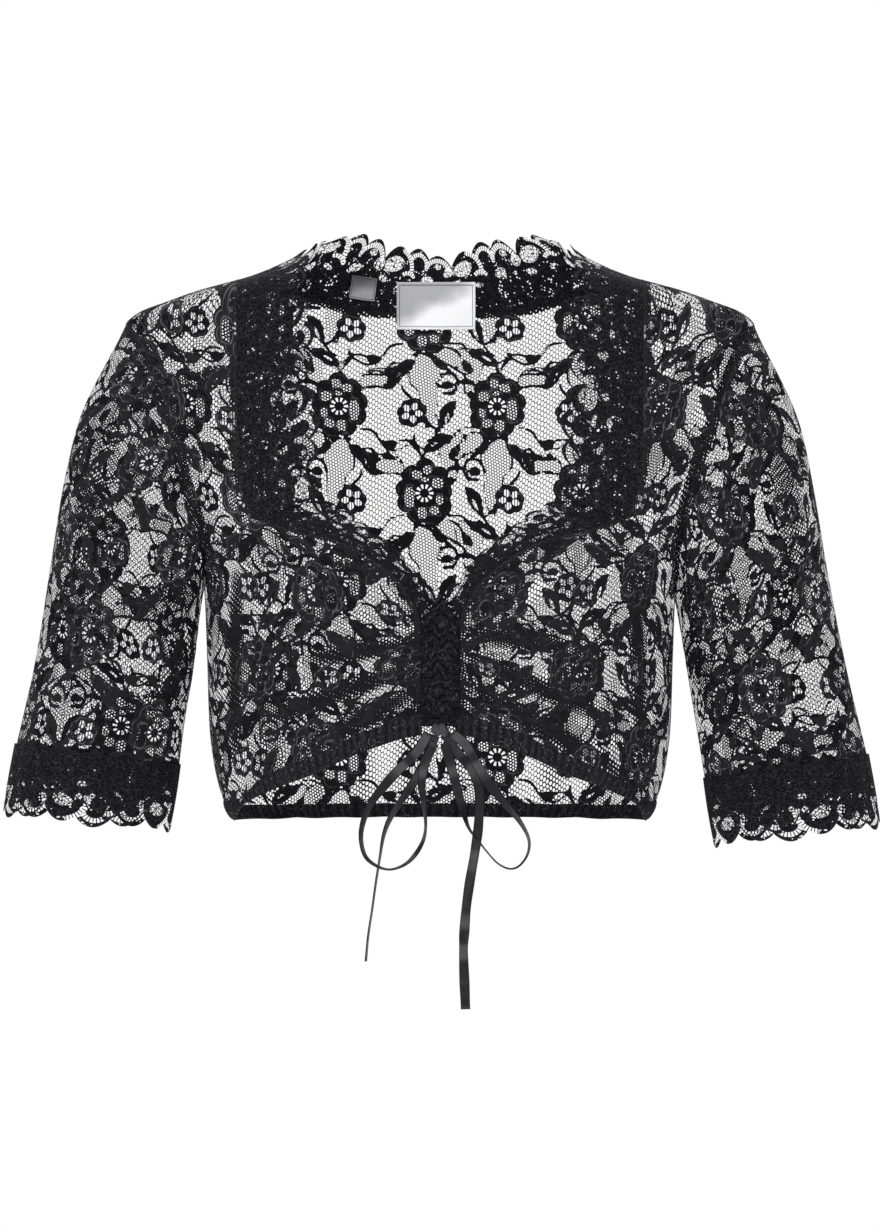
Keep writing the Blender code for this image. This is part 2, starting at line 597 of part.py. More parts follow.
def edging(name, seam, seam_normals, seam_line, free_line, face, side, lean=0.0, edges=(), start=0.0):
    """One strip of edging between a seam on the bodice and its scalloped free edge."""
    lengths = lengths_of(seam)
    lobes = max(round(lengths[-1] / LOBE), 2)
    count = lobes * POINTS_PER_LOBE
    wanted = np.linspace(0.0, lengths[-1], count + 1)
    seam_at = np.stack([np.interp(wanted, lengths, seam[:, k]) for k in range(3)], axis=-1)
    normal_at = np.stack([np.interp(wanted, lengths, seam_normals[:, k]) for k in range(3)], axis=-1)
    line_at = np.stack([np.interp(wanted, lengths, seam_line[:, k]) for k in range(2)], axis=-1)
    free = along(free_line, count, face)
    lobe_place = start + np.arange(count + 1) / POINTS_PER_LOBE
    reach = 1 - SCALLOP_DEPTH / EDGING_WIDTH * (1 - scallop(lobe_place))
    across = np.linspace(0.0, 1.0, EDGING_ROWS + 1)
    v = across[:, None] * reach[None, :]
    seam_x, seam_z = line_at[None, :, 0], line_at[None, :, 1]
    free_x, free_z = free[None, :, 0], free[None, :, 1]
    x = seam_x * (1 - v) + free_x * v
    z = seam_z * (1 - v) + free_z * v
    # Close to the shoulder ridge the strip follows the ridge's own curve
    ridge = RIDGE(-np.abs(seam_x)) * (1 - v) + RIDGE(-np.abs(free_x)) * v
    z = z + (RIDGE(-np.abs(x)) - ridge) * np.exp(-np.maximum(ridge - z, 0.0) / RIDGE_REACH)
    turn = turn_at(x, z)
    for column, word in ((0, "ridge_start"), (-1, "ridge_end")):
        if word in edges:
            z[:, column] = RIDGE(-np.abs(x[:, column]))
            turn[:, column] = np.sign(x[:, column]) * math.pi / 2
    points, normals = figure(face, side * turn, z)
    points[..., 1] += lean * v**1.5 * np.minimum(1.0, np.abs(np.cos(turn)) * 3)
    points += (seam_at - points[0])[None] * (1 - across)[:, None, None]
    normals[0] = normal_at
    sides = ["first_row", "first_column", "last_column"]
    outer = pull_in(points, normals, sides, EDGING_GAP / 2)
    inner = outer - normals * WALL
    return wall(name, outer, inner, GALLOON)


# Cuffs

def cuff(side):
    mouth = CUFF_MOUTH_RIGHT if side > 0 else CUFF_MOUTH_LEFT
    centre, reach, half_depth = sleeve_rings(side, np.array(1.0))
    low_centre = np.array([side * (mouth[0] + mouth[2]) / 2, CUFF_MIDDLE_Y, (mouth[1] + mouth[3]) / 2])
    low_reach = np.array([side * (mouth[0] - mouth[2]) / 2, 0.0, (mouth[1] - mouth[3]) / 2])
    lobes = CUFF_SCALLOPS * LOBES_PER_SCALLOP
    count = lobes * POINTS_PER_LOBE
    turns = np.linspace(0.0, 2 * math.pi, count + 1)[:-1]
    reach_down = 1 - SCALLOP_DEPTH / EDGING_WIDTH * (1 - scallop(np.arange(count) / POINTS_PER_LOBE + 0.5))
    v = np.linspace(0.0, 1.0, EDGING_ROWS + 1)[:, None] * reach_down[None, :]
    grow = 1 + CUFF_PROUD / 0.05
    middle = centre * (1 - v[..., None]) + low_centre * v[..., None]
    arm = (reach * (1 - v[..., None]) + low_reach * v[..., None]) * grow
    depth = (half_depth * (1 - v) + mouth[4] * v) * grow
    outer = middle + arm * np.cos(turns)[None, :, None]
    outer[..., 1] -= depth * np.sin(turns)[None, :]
    normals = grid_normals(outer, True)
    spokes = outer - outer.mean(axis=1, keepdims=True)
    normals *= np.sign(np.sum(normals * spokes, axis=-1, keepdims=True))
    outer = pull_in(outer, normals, ["first_row"])
    name = "cuff_right" if side > 0 else "cuff_left"
    return wall(name, outer, outer - normals * WALL, GALLOON, ring=True)


# Bands and casing

def front_hem_band(side, seam_turn, seam_z):
    x = np.abs(HALF_WIDTH(seam_z) * signed_power(np.sin(seam_turn)))
    low_x = x * FRONT_HEM[-1][0] / x[-1]
    low_x[:3] = x[:3]
    low_z = HEM_LINE(np.minimum(low_x, FRONT_HEM[-1][0]))
    v = np.linspace(0.0, 1.0, 3)[:, None]
    z = seam_z[None] * (1 - v) + low_z[None] * v
    turn = np.abs(seam_turn)[None] + 0 * v
    turn[:, 0] = turn_at(np.full(3, CASING_HALF), z[:, 0])
    points, normals = figure("front", side * turn, z)
    outer = pull_in(points, normals, ["first_row", "first_column", "last_column"])
    name = "front_hem_band_right" if side > 0 else "front_hem_band_left"
    return wall(name, outer, outer - normals * WALL, CASING)


def back_hem_band(seam_turn, seam_z):
    v = np.linspace(0.0, 1.0, 3)[:, None]
    z = seam_z[None] * (1 - v) + BACK_HEM_Z * v
    turn = np.broadcast_to(seam_turn[None], z.shape)
    points, normals = figure("back", turn, z)
    outer = pull_in(points, normals, ["first_row", "first_column", "last_column"])
    return wall("back_hem_band", outer, outer - normals * WALL, CASING)


def centre_casing():
    rows = CASING_GATHERS * 4
    x = np.linspace(-CASING_HALF, CASING_HALF, 5)[None, :]
    top = CASING_TOP_Z - np.abs(x) * (CASING_TOP_Z - CASING_SHOULDER_Z) / CASING_HALF
    t = np.linspace(0.0, 1.0, rows + 1)[:, None]
    z = top * (1 - t) + CASING_BOTTOM_Z * t
    points, normals = on_figure("front", x + 0 * z, z)
    wave = 0.5 - 0.5 * np.cos(2 * math.pi * CASING_GATHERS * t)
    swell = CASING_RELIEF * wave * (0.35 + 0.65 * np.cos(x / CASING_HALF * math.pi / 2))
    plain = pull_in(points, normals, ["first_row", "first_column", "last_column"])
    outer = plain + normals * swell[..., None]
    return wall("centre_casing", outer, plain - normals * WALL, CASING)


# Ribbons

def smooth_route(table, count):
    """A smooth curve through the rows of a route, at even steps of its length."""
    route = np.asarray(table, float)
    line = route[:, :3].copy()
    line[:, 1] = BOW[1] - route[:, 1]
    lengths = lengths_of(line)
    padded = np.concatenate([[2 * route[0] - route[1]], route, [2 * route[-1] - route[-2]]])
    wanted = np.linspace(0.0, lengths[-1], count + 1)
    spans = np.clip(np.searchsorted(lengths, wanted, side="right") - 1, 0, len(lengths) - 2)
    t = ((wanted - lengths[spans]) / np.diff(lengths)[spans])[:, None]
    a, b, c, d = (padded[spans + k] for k in range(4))
    smooth = 0.5 * (2 * b + (c - a) * t + (2 * a - 5 * b + 4 * c - d) * t**2 + (3 * b - a - 3 * c + d) * t**3)
    points = smooth[:, :3].copy()
    points[:, 1] = BOW[1] - smooth[:, 1]
    return points, np.radians(smooth[:, 3])


def ribbon(name, table, count):
    points, twist = smooth_route(table, count)
    tangent = unit(np.gradient(points, axis=0))
    depth = np.array([0.0, 1.0, 0.0])
    flat = unit(np.cross(tangent, depth))
    wide = unit(np.cos(twist)[:, None] * depth + np.sin(twist)[:, None] * flat)
    wide = unit(wide - tangent * np.sum(wide * tangent, axis=1, keepdims=True))
    thin = unit(np.cross(tangent, wide))
    half_wide, half_thin = wide * RIBBON_WIDTH / 2, thin * RIBBON_THICK / 2
    section = [points + half_wide + half_thin, points - half_wide + half_thin,
               points - half_wide - half_thin, points + half_wide - half_thin]
    rings = np.stack(section, axis=1)
    corners = rings.reshape(-1, 3)
    faces = []
    for i in range(count):
        for k in range(4):
            a, b = 4 * i + k, 4 * i + (k + 1) % 4
            faces.append((a, b, b + 4, a + 4))
    faces.append((3, 2, 1, 0))
    faces.append(tuple(4 * count + k for k in range(4)))
    return make_object(name, corners, faces, SATIN)


def ribbon_knot():
    rings, spokes = 8, 14
    points = [(BOW[0] - KNOT_SIZE[0] / 2, BOW[1], BOW[2])]
    for i in range(1, rings):
        polar = math.pi * i / rings
        for j in range(spokes):
            turn = 2 * math.pi * j / spokes
            points.append((BOW[0] - KNOT_SIZE[0] / 2 * math.cos(polar),
                           BOW[1] + KNOT_SIZE[1] / 2 * math.sin(polar) * math.cos(turn),
                           BOW[2] + KNOT_SIZE[2] / 2 * math.sin(polar) * math.sin(turn)))
    points.append((BOW[0] + KNOT_SIZE[0] / 2, BOW[1], BOW[2]))
    end = len(points) - 1
    faces = []
    for j in range(spokes):
        after = (j + 1) % spokes
        faces.append((0, 1 + after, 1 + j))
        faces.append((end, end - spokes + j, end - spokes + after))
        for i in range(rings - 2):
            a, b = 1 + i * spokes + j, 1 + i * spokes + after
            faces.append((a, b, b + spokes, a + spokes))
    return make_object("ribbon_knot", np.array(points), faces, SATIN)


# Labels

def label(name, place):
    middle_x, middle_z, width, height, tilt = place
    u = np.linspace(-0.5, 0.5, 7)[None, :] * width
    v = np.linspace(0.5, -0.5, 5)[:, None] * height
    turn = math.radians(tilt)
    x = middle_x + u * math.cos(turn) - v * math.sin(turn)
    z = middle_z + u * math.sin(turn) + v * math.cos(turn)
    points, normals = on_figure("back", x, z)
    outer = points - normals * (WALL + LABEL_CLEAR)
    return wall(name, outer, outer - normals * LABEL_THICK, LABEL)


# Assembly

def clear_scene():
    for old in list(bpy.data.objects):
        bpy.data.objects.remove(old, do_unlink=True)


def build_blouse():
    clear_scene()
    rows = armhole_rows()
    back_turn, back_z = back_grid()
    back, back_normals = figure("back", back_turn, back_z)
    back_edges = ["first_row", "last_row", "first_column", "last_column"]
    back_outer = pull_in(back, back_normals, back_edges)
    back_inner = back_outer - back_normals * WALL

    for side, word in ((-1, "left"), (1, "right")):
        turn, z = front_grid(side)
        front, normals = figure("front", turn, z)
        outer = pull_in(front, normals, ["first_row", "last_row", "first_column", "last_column"])
        inner = outer - normals * WALL

        # The sleeve shares the armhole's points with both panels
        column = -1 if side > 0 else 0
        front_seam = front[rows, -1]
        back_seam = back[rows, column]
        tube, tube_normals = sleeve_grid(side, front_seam, back_seam)
        tube_outer = pull_in(tube, tube_normals, ["last_row"])
        tube_inner = tube_outer - tube_normals * WALL
        seam = np.concatenate([front_seam, back_seam[::-1][1:-1]])
        tube_into = unit(tube[1] - tube[0])
        front_into = into_piece(front, normals, "last_column")[rows]
        back_edge = "last_column" if side > 0 else "first_column"
        back_into = into_piece(back, back_normals, back_edge)[rows]
        half = ARMHOLE_ROWS + 1
        panel_into = np.concatenate([front_into, back_into[::-1][1:-1]])
        panel_into[0] = unit(front_into[0] + back_into[0])
        panel_into[half - 1] = unit(front_into[-1] + back_into[-1])
        parting = unit(panel_into - tube_into)
        clear_of_seam(seam, tube_outer[0], tube_inner[0], tube_into, -parting)
        clear_of_seam(front_seam, outer[rows, -1], inner[rows, -1], front_into, parting[:half])
        back_parting = np.concatenate([parting[:1], parting[half - 1:][::-1]])
        clear_of_seam(back_seam, back_outer[rows, column], back_inner[rows, column], back_into, back_parting)

        wall("front_" + word, outer, inner, LACE)
        wall("sleeve_" + word, tube_outer, tube_inner, LACE, ring=True)
        cuff(side)
        front_hem_band(side, turn[-1], z[-1])

        strap = slice(0, STRAP_ROWS + 1)
        cup = slice(STRAP_ROWS, STRAP_ROWS + CUP_ROWS + 1)
        strap_line = along(STRAP_SEAM, STRAP_ROWS, "front", STRAP_CROWDING)
        cup_line = along(CUP_SEAM, CUP_ROWS, "front")
        edging("strap_band_" + word, front[strap, 0], normals[strap, 0], strap_line, STRAP_FREE,
               "front", side, edges=("ridge_start",))
        edging("neckline_band_" + word, front[cup, 0], normals[cup, 0], cup_line, CUP_FREE,
               "front", side, lean=CUP_LEAN)

    wall("back_panel", back_outer, back_inner, LACE)
    back_hem_band(back_turn[-1], back_z[-1])
    seam_line = along(BACK_SEAM, BACK_COLUMNS // 2, "back")
    seam_line = np.concatenate([seam_line * (-1, 1), seam_line[::-1][1:]])
    free_line = [(-x, z) for x, z in BACK_FREE] + [(x, z) for x, z in BACK_FREE[::-1][1:]]
    edging("neck_band_back", back[0], back_normals[0], seam_line, free_line, "back", 1,
           edges=("ridge_start", "ridge_end"))
    centre_casing()

    ribbon_knot()
    ribbon("ribbon_loop_left", LOOP_LEFT, 34)
    ribbon("ribbon_loop_right", LOOP_RIGHT, 34)
    ribbon("ribbon_tail_left", TAIL_LEFT, 18)
    ribbon("ribbon_tail_right", TAIL_RIGHT, 20)
    label("label_main", LABEL_MAIN)
    label("label_size", LABEL_SIZE)


build_blouse()
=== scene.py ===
import math

import bmesh
import bpy
import numpy as np
from mathutils import Matrix, Vector


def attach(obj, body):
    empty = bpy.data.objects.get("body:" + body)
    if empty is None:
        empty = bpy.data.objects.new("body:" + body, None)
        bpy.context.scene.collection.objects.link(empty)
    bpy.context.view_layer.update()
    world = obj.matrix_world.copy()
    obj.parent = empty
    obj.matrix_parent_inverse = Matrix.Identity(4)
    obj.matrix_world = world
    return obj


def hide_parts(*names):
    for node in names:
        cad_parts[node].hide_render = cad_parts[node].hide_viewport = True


# Black lace dirndl blouse: the looks. Metres, the front faces -Y, +X to the viewer's right.
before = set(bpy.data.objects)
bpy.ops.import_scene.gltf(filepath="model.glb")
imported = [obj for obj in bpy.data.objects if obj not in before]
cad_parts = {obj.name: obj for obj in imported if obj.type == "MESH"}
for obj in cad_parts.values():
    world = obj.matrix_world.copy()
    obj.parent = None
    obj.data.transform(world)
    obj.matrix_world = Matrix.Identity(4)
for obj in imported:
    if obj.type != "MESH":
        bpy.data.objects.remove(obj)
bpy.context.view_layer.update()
print("frame loaded")


def metres(rows, columns=slice(None)):
    # a table whose columns are in millimetres
    rows = np.array(rows, float)
    rows[:, columns] /= 1000
    return rows


# The bodice. Lengths are in metres here, and in millimetres in the tables

bodice = {
    "roundness": 2.3,          # exponent of the horizontal sections
    "step": 11,                # fine rows for each row of the frame's panels
    "frontStep": 17,
    "backStep": 13,
    "shoulderRows": 4, "armholeRows": 12, "sideRows": 8,
    "strapRows": 11, "cupRows": 8, "centreRows": 5, "strapCrowding": 1.5,
    "frontColumns": 11, "backColumns": 28,
    "sink": 0.0003,            # the lace lies this far under the solid's outer face
    "bustX": 0.083, "bustZ": -0.218, "bustProud": 0.027, "bustWide": 0.052, "bustTall": 0.050,
    "shoulderGap": 0.0014, "armholeBow": 0.30, "sideEndZ": -0.3335, "centreEndZ": -0.2705,
    "frontHemHeight": 0.0130, "backHemHeight": 0.0085, "hemFade": 0.003, "backHemZ": -0.3445,
    "frontCorner": 0.09, "backCorner": 0.036,     # shares of a panel's width where its hem bends up
    "allowance": 0.0035,
}

# Bodice sections. Columns: height, half width, front depth, back depth
figureRows = metres((
    (-348, 125.5, 87, 85), (-335, 133, 89, 88), (-310, 140, 93, 92), (-285, 143, 96, 95),
    (-240, 144.5, 103, 97), (-200, 146.3, 103, 99), (-150, 165, 90, 98), (-100, 190, 75, 90),
    (-60, 198.5, 62, 78), (-36.6, 194.7, 57, 69), (-29, 186, 55.5, 66), (-22.3, 168.6, 54.5, 63),
    (-16, 151, 53.5, 60.5), (-9.3, 126.5, 52.5, 58), (-6.8, 116.6, 52, 57), (-0.5, 100, 50.5, 55),
    (5.6, 88.7, 49, 52.5), (13, 81.2, 47, 50), (30, 74, 42, 44),
))

# Armhole seams seen from the front. Columns: height, half width
armholeLeft = metres((
    (-36.6, 194.7), (-53.9, 182.3), (-69.4, 175.5), (-83.4, 170.2), (-100.8, 164.9), (-121.5, 161.4),
    (-138.9, 156.2), (-156, 150), (-180.4, 145), (-200.3, 146.3),
))
armholeRight = metres((
    (-38, 195), (-48.4, 187.9), (-64.5, 181), (-80, 175.5), (-104.2, 166.8), (-123.4, 160), (-138.9, 155),
    (-156.2, 150.4), (-180, 146.2), (-208, 146.1),
))

# Seams and free edges. Columns: half width, height
strapSeam = metres((
    (125.5, -9.3), (125, -60), (124.5, -118), (121.5, -140), (114.5, -158),
))
cupSeam = metres((
    (114.5, -158), (90, -165.5), (60, -173), (40, -184), (25, -196.5), (15, -212), (11, -224.5),
))
strapFree = metres((
    (81.2, 13), (79.5, -10), (76, -50), (73, -100), (68.5, -144),
))
cupFree = metres((
    (68.5, -144), (56, -153), (35, -168), (18, -186), (0.4, -203.5),
))
backSeam = metres((
    (125.5, -9.3), (110, -12.5), (94, -15.5), (76, -19.5), (51, -25.5), (25, -26.7), (0, -26.7),
))
backFree = metres((
    (81.2, 13), (68, 17.5), (52, 21.5), (35, 20.5), (20, 15), (0, 10),
))
frontHem = metres((
    (0, -288), (20, -291.5), (39, -298), (56, -305), (74, -314), (93.5, -321.5), (112, -330.5), (127, -345),
))

# The largest folds, where the frame has them.
# Columns: x and z where it starts, x and z where it ends, height, half width
foldRows = {
    "front": metres((
        (-13, -247, -105, -279, 4.2, 8.5), (13, -256, 115, -316, 4.2, 8.5), (-13, -262, -85, -301, 3, 8),
        (13, -240, 95, -276, 3, 8), (-14, -234, -80, -244, 2.4, 8), (14, -227, 78, -236, 2.4, 8),
        (-124, -190, -126, -308, 3, 7), (118, -190, 124, -308, 3, 7),
    )),
    "back": metres((
        (-108, -250, -102, -348, 2.8, 8), (-80, -280, -76, -348, 3, 8), (-51, -260, -50, -348, 2.8, 8),
        (-18, -275, -20, -348, 3, 8), (11, -255, 10, -348, 2.8, 8), (42, -280, 40, -348, 3, 8),
        (74, -260, 70, -348, 2.8, 8), (104, -275, 99, -348, 3, 8),
    )),
}

# Finer creases between them, soft ridges (over 0) and troughs (under 0). The same columns
creaseRows = {
    "front": metres((
        (-12, -227, -56, -215, 1.2, 3), (-12, -240, -70, -256, -1.6, 3.4), (-12, -255, -62, -283, -1.4, 3.2),
        (-13, -268, -56, -293, 1.3, 3), (-12, -275, -34, -290, -1, 2.6), (12, -233, 60, -230, -1.3, 3),
        (12, -248, 82, -270, -1.7, 3.6), (12, -263, 76, -300, -1.5, 3.4), (13, -270, 52, -296, 1.3, 3),
        (13, -218, 47, -203, 1.2, 3), (-139, -200, -134, -296, 1.6, 3.6), (-108, -230, -110, -317, 1.3, 3.4),
        (-94, -265, -90, -312, -1, 3), (134, -205, 135, -300, 1.6, 3.6), (106, -220, 106, -315, 1.3, 3.4),
        (93, -250, 90, -296, -1.1, 3), (-150, -150, -112, -185, 1.5, 4), (151, -156, 113, -190, 1.5, 4),
        (-156, -118, -130, -150, -1, 3.6), (157, -124, 131, -154, -1, 3.6),
    )),
    "back": metres((
        (-148, -150, -105, -205, 1.5, 4.5), (149, -156, 108, -212, 1.5, 4.5),
        (-132, -205, -123, -330, 1.6, 4.2), (133, -215, 121, -330, 1.6, 4.2),
        (-93, -295, -90, -348, -1.2, 3.4), (-35, -290, -34.5, -348, -1.2, 3.4),
        (26, -285, 25.5, -348, -1.2, 3.4), (89, -295, 86, -348, -1.2, 3.4), (-60, -90, -90, -150, 1, 5),
        (64, -85, 91, -142, 1, 5),
    )),
}

# Curves and sections

def smoothCurve(places, values):
    # runs through the values without overshooting them
    places = np.asarray(places, float)
    values = np.asarray(values, float)
    steps = np.diff(places)
    rises = np.diff(values) / steps
    slopes = np.zeros(len(places))
    slopes[0] = rises[0]
    slopes[-1] = rises[-1]
    for i in range(1, len(places) - 1):
        if rises[i - 1] * rises[i] > 0:
            before = 2 * steps[i] + steps[i - 1]
            after = steps[i] + 2 * steps[i - 1]
            slopes[i] = (before + after) / (before / rises[i - 1] + after / rises[i])

    def curve(x):
        x = np.clip(np.asarray(x, float), places[0], places[-1])
        i = np.clip(np.searchsorted(places, x) - 1, 0, len(steps) - 1)
        t = (x - places[i]) / steps[i]
        return ((2 * t**3 - 3 * t**2 + 1) * values[i] + (t**3 - 2 * t**2 + t) * steps[i] * slopes[i]
                + (3 * t**2 - 2 * t**3) * values[i + 1] + (t**3 - t**2) * steps[i] * slopes[i + 1])

    return curve


halfWidth, frontDepth, backDepth = (smoothCurve(figureRows[:, 0], figureRows[:, k]) for k in (1, 2, 3))
hemLine = smoothCurve(frontHem[:, 0], frontHem[:, 1])
upperRows = figureRows[figureRows[:, 0] > -0.04]
ridgeLine = smoothCurve(-upperRows[:, 1], upperRows[:, 0])


def lengthsOf(points):
    return np.concatenate(([0.0], np.cumsum(np.linalg.norm(np.diff(points, axis=0), axis=1))))


def readAt(wanted, lengths, rows):
    # the rows of a line, read at other lengths along it
    return np.stack([np.interp(wanted, lengths, column) for column in np.transpose(rows)], axis=-1)


def unit(v):
    return v / np.maximum(np.linalg.norm(v, axis=-1, keepdims=True), 1e-12)


def ease(t):
    t = np.clip(t, 0.0, 1.0)
    return t * t * (3 - 2 * t)


def signedPower(v):
    return np.sign(v) * np.abs(v) ** (2 / bodice["roundness"])


def turnAt(x, z):
    ratio = np.clip(x / halfWidth(z), -1.0, 1.0)
    return np.arcsin(np.sign(ratio) * np.abs(ratio) ** (bodice["roundness"] / 2))


def plainFigure(face, turn, z):
    front = face == "front"
    cosine = np.cos(turn)
    own, other = (frontDepth(z), backDepth(z)) if front else (backDepth(z), frontDepth(z))
    depth = np.where(cosine >= 0, own, other)
    x = halfWidth(z) * signedPower(np.sin(turn))
    y = (-1.0 if front else 1.0) * depth * signedPower(cosine)
    near = np.exp(-((np.abs(x) - bodice["bustX"]) / bodice["bustWide"]) ** 2
                  - ((z - bodice["bustZ"]) / bodice["bustTall"]) ** 2)
    bust = bodice["bustProud"] * near * np.clip(cosine if front else -cosine, 0.0, 1.0)
    return np.stack([x, y - bust, z + 0 * x], axis=-1)


def figureNormal(face, turn, z):
    across = plainFigure(face, turn + 0.03, z) - plainFigure(face, turn - 0.03, z)
    up = plainFigure(face, turn, z + 0.0015) - plainFigure(face, turn, z - 0.0015)
    normal = unit(np.cross(across, up)) * (1.0 if face == "front" else -1.0)
    normal[..., 1] *= np.abs(np.cos(turn)) > 1e-6    # straight to the side on the ridge and side seam
    return unit(normal)


def besideLine(x, y, x0, y0, x1, y1):
    # share of the way along a straight line, and the square of the distance from it
    runX, runY = x1 - x0, y1 - y0
    t = np.clip(((x - x0) * runX + (y - y0) * runY) / (runX**2 + runY**2), 0.0, 1.0)
    return t, (x - x0 - t * runX) ** 2 + (y - y0 - t * runY) ** 2


def ridgeSum(rows, x, z, width=1.0):
    # heights of all ridges at x and z, and how near the nearest crest is (1 on it)
    height = np.zeros(np.broadcast(x, z).shape)
    crest = np.zeros(height.shape)
    for x0, z0, x1, z1, high, half in rows:
        t, away = besideLine(x, z, x0, z0, x1, z1)
        bell = np.exp(-away / (half * width) ** 2) * (0.35 + 0.65 * np.sin(math.pi * t) ** 0.5)
        height = height + high * bell
        crest = np.maximum(crest, bell * (high > 0))
    return height, crest


def figure(face, turn, z, sink=0.0):
    turn, z = np.broadcast_arrays(np.asarray(turn, float), np.asarray(z, float))
    base = plainFigure(face, turn, z)
    normal = figureNormal(face, turn, z)
    fade = np.clip(np.abs(np.cos(turn)) / 0.35, 0.0, 1.0)
    height = sum(ridgeSum(rows[face], base[..., 0], z)[0] for rows in (foldRows, creaseRows))
    return base + normal * (height * fade - sink)[..., None], normal


def along(table, count, face, crowding=1.0):
    # points of a line of half widths and heights, at even steps of its length on the bodice
    table = np.asarray(table, float)
    lengths = lengthsOf(table)
    fine = np.linspace(0.0, lengths[-1], 400)
    x, z = (smoothCurve(lengths, table[:, k])(fine) for k in (0, 1))
    travelled = lengthsOf(plainFigure(face, turnAt(x, z), z))
    wanted = travelled[-1] * np.linspace(0.0, 1.0, count + 1) ** crowding
    return readAt(wanted, travelled, np.stack([x, z], axis=1))


def clothMap(face):
    # cloth widths and lengths in metres, as a function of the turn round the bodice and the height
    turns = np.linspace(-math.pi / 2, math.pi / 2, 241)
    heights = np.linspace(-0.352, 0.032, 385)
    points = plainFigure(face, turns[None, :], heights[:, None])
    u = np.cumsum(np.linalg.norm(np.diff(points, axis=1, prepend=points[:, :1]), axis=2), axis=1)
    u -= u[:, 120:121]
    rise = np.diff(points, axis=0, prepend=points[:1])
    v = np.cumsum(np.hypot(rise[..., 1], rise[..., 2]), axis=0)
    v += heights[0]

    def at(turn, z):
        i = np.clip((z - heights[0]) / (heights[1] - heights[0]), 0, len(heights) - 1.001)
        j = np.clip((turn - turns[0]) / (turns[1] - turns[0]), 0, len(turns) - 1.001)
        i0, j0 = i.astype(int), j.astype(int)
        fi, fj = i - i0, j - j0
        return tuple((grid[i0, j0] * (1 - fi) + grid[i0 + 1, j0] * fi) * (1 - fj)
                     + (grid[i0, j0 + 1] * (1 - fi) + grid[i0 + 1, j0 + 1] * fi) * fj for grid in (u, v))

    return at


# The lace: flowers, leaves and scrolls on an open net, in millimetres of cloth

lace = {
    "period": (100.0, 111.5),      # one repeat, across and up
    "glide": (54.0, -55.75),       # the mirrored set of motifs stands here
    "flower": (17.6, 22.8), "flowerLobes": 4.5, "lobeDepth": 0.17,
    "small": (46.0, -4.0), "smallRadius": 9.6,
    "netCell": (3.30, 2.20), "netThread": 0.085,      # cell height and width, thread's share
    "fineCell": (2.00, 2.00), "fineThread": 0.130, "petalLayers": 0.26, "petalHalf": 0.52,
}
# Net patches in a big flower's petals. Columns: x, y, width, height
petalPatches = (
    (-2, 15, 5.4, 5.4), (5, 12, 6.4, 5), (-8.3, 6.5, 6.6, 6), (-0.5, 8.6, 4.6, 2.8), (-9.6, -4.2, 4, 5.8),
    (-6.2, -11, 5.8, 5.2), (1.5, -12.6, 5.6, 6.8), (9.4, -2.5, 6, 12.4),
)
# Leaves. Columns: x, y, length, width, turn in degrees, slit length, slit width, slit offset
leafRows = (
    (37.5, 22, 25, 9.6, 52, 8, 1.8, -1), (67, -5.5, 26, 7.4, 61, 9, 1.5, -1.2),
    (63, -23.5, 19, 9.6, 25, 10, 2.2, 0.6), (62.5, 28.5, 13, 5.4, -42, 0, 0, 0),
    (-20, 27, 12, 5, 118, 0, 0, 0), (21, -31, 14, 5.6, -28, 6, 1.3, 0.3),
)
# Dots. Columns: x, y, radius
dotRows = (
    (68.6, 13.4, 3), (33, -24, 3.8), (84, 8, 2),
)
# Arcs. Columns: x, y, radius, first and last angle in degrees, half width
arcRows = (
    (69, 14, 6.6, -100, 175, 1.05), (38, -19.5, 9, 190, 350, 0.8), (80, 6, 11, 60, 150, 0.95),
    (24, 12, 11, 20, 120, 0.75),
)
# Stems. Columns: x and y where it starts, x and y where it ends, bow to its left, half width
stemRows = (
    (14, 9, 30, 13, 2, 0.95), (0, 21, -9, 34, -1.5, 0.95), (1, 21, 8, 34, 1.5, 0.9),
    (13, -15, 30, -25, 2, 0.85), (46, 5, 41, 14, 1, 0.85), (54, -6, 61, -15, -1.5, 0.9),
    (61, -17, 57, -21, 0.5, 1), (54, -27, 47, -19, 1.5, 0.8), (46, 33, 58, 32, 3, 0.85),
    (67, 24, 69, 20.5, 0.5, 1.1), (75.5, 14, 84, 17, 2.5, 1), (72, 7, 74, 12, -1, 0.8),
    (8, 34, 22, 27, 2, 0.75), (72, -20, 84, -14, 3, 0.85), (28, -34, 40, -36, 1.5, 0.8),
)
# Patches of fine net with a thin stem round them, each a bud and its tail run together.
# Columns: bud x, y, half width, half height, turn; tail x, y, length, width, turn
fineRows = (
    (53.5, 23, 9.8, 12.5, -8, 57.5, 5, 38, 10.5, 82), (22, 18, 8.8, 6.2, 25, 31, 21, 22, 7, 8),
    (80.5, 30.5, 8, 9, 10, 85, 19, 22, 7.5, 70), (86, -22, 7, 5, -20, 79, -28, 20, 6.5, 40),
)


def wrapped(value, period):
    return (value + period / 2) % period - period / 2


def turned(x, y, degrees):
    c, s = math.cos(math.radians(degrees)), math.sin(math.radians(degrees))
    return x * c + y * s, y * c - x * s


def ovalField(x, y, halfWide, halfTall):
    return (np.sqrt((x / halfWide) ** 2 + (y / halfTall) ** 2) - 1) * min(halfWide, halfTall)


def leafField(x, y, length, width):
    radius = (length**2 / 4 + width**2 / 4) / width
    return np.hypot(x, np.abs(y) + radius - width / 2) - radius


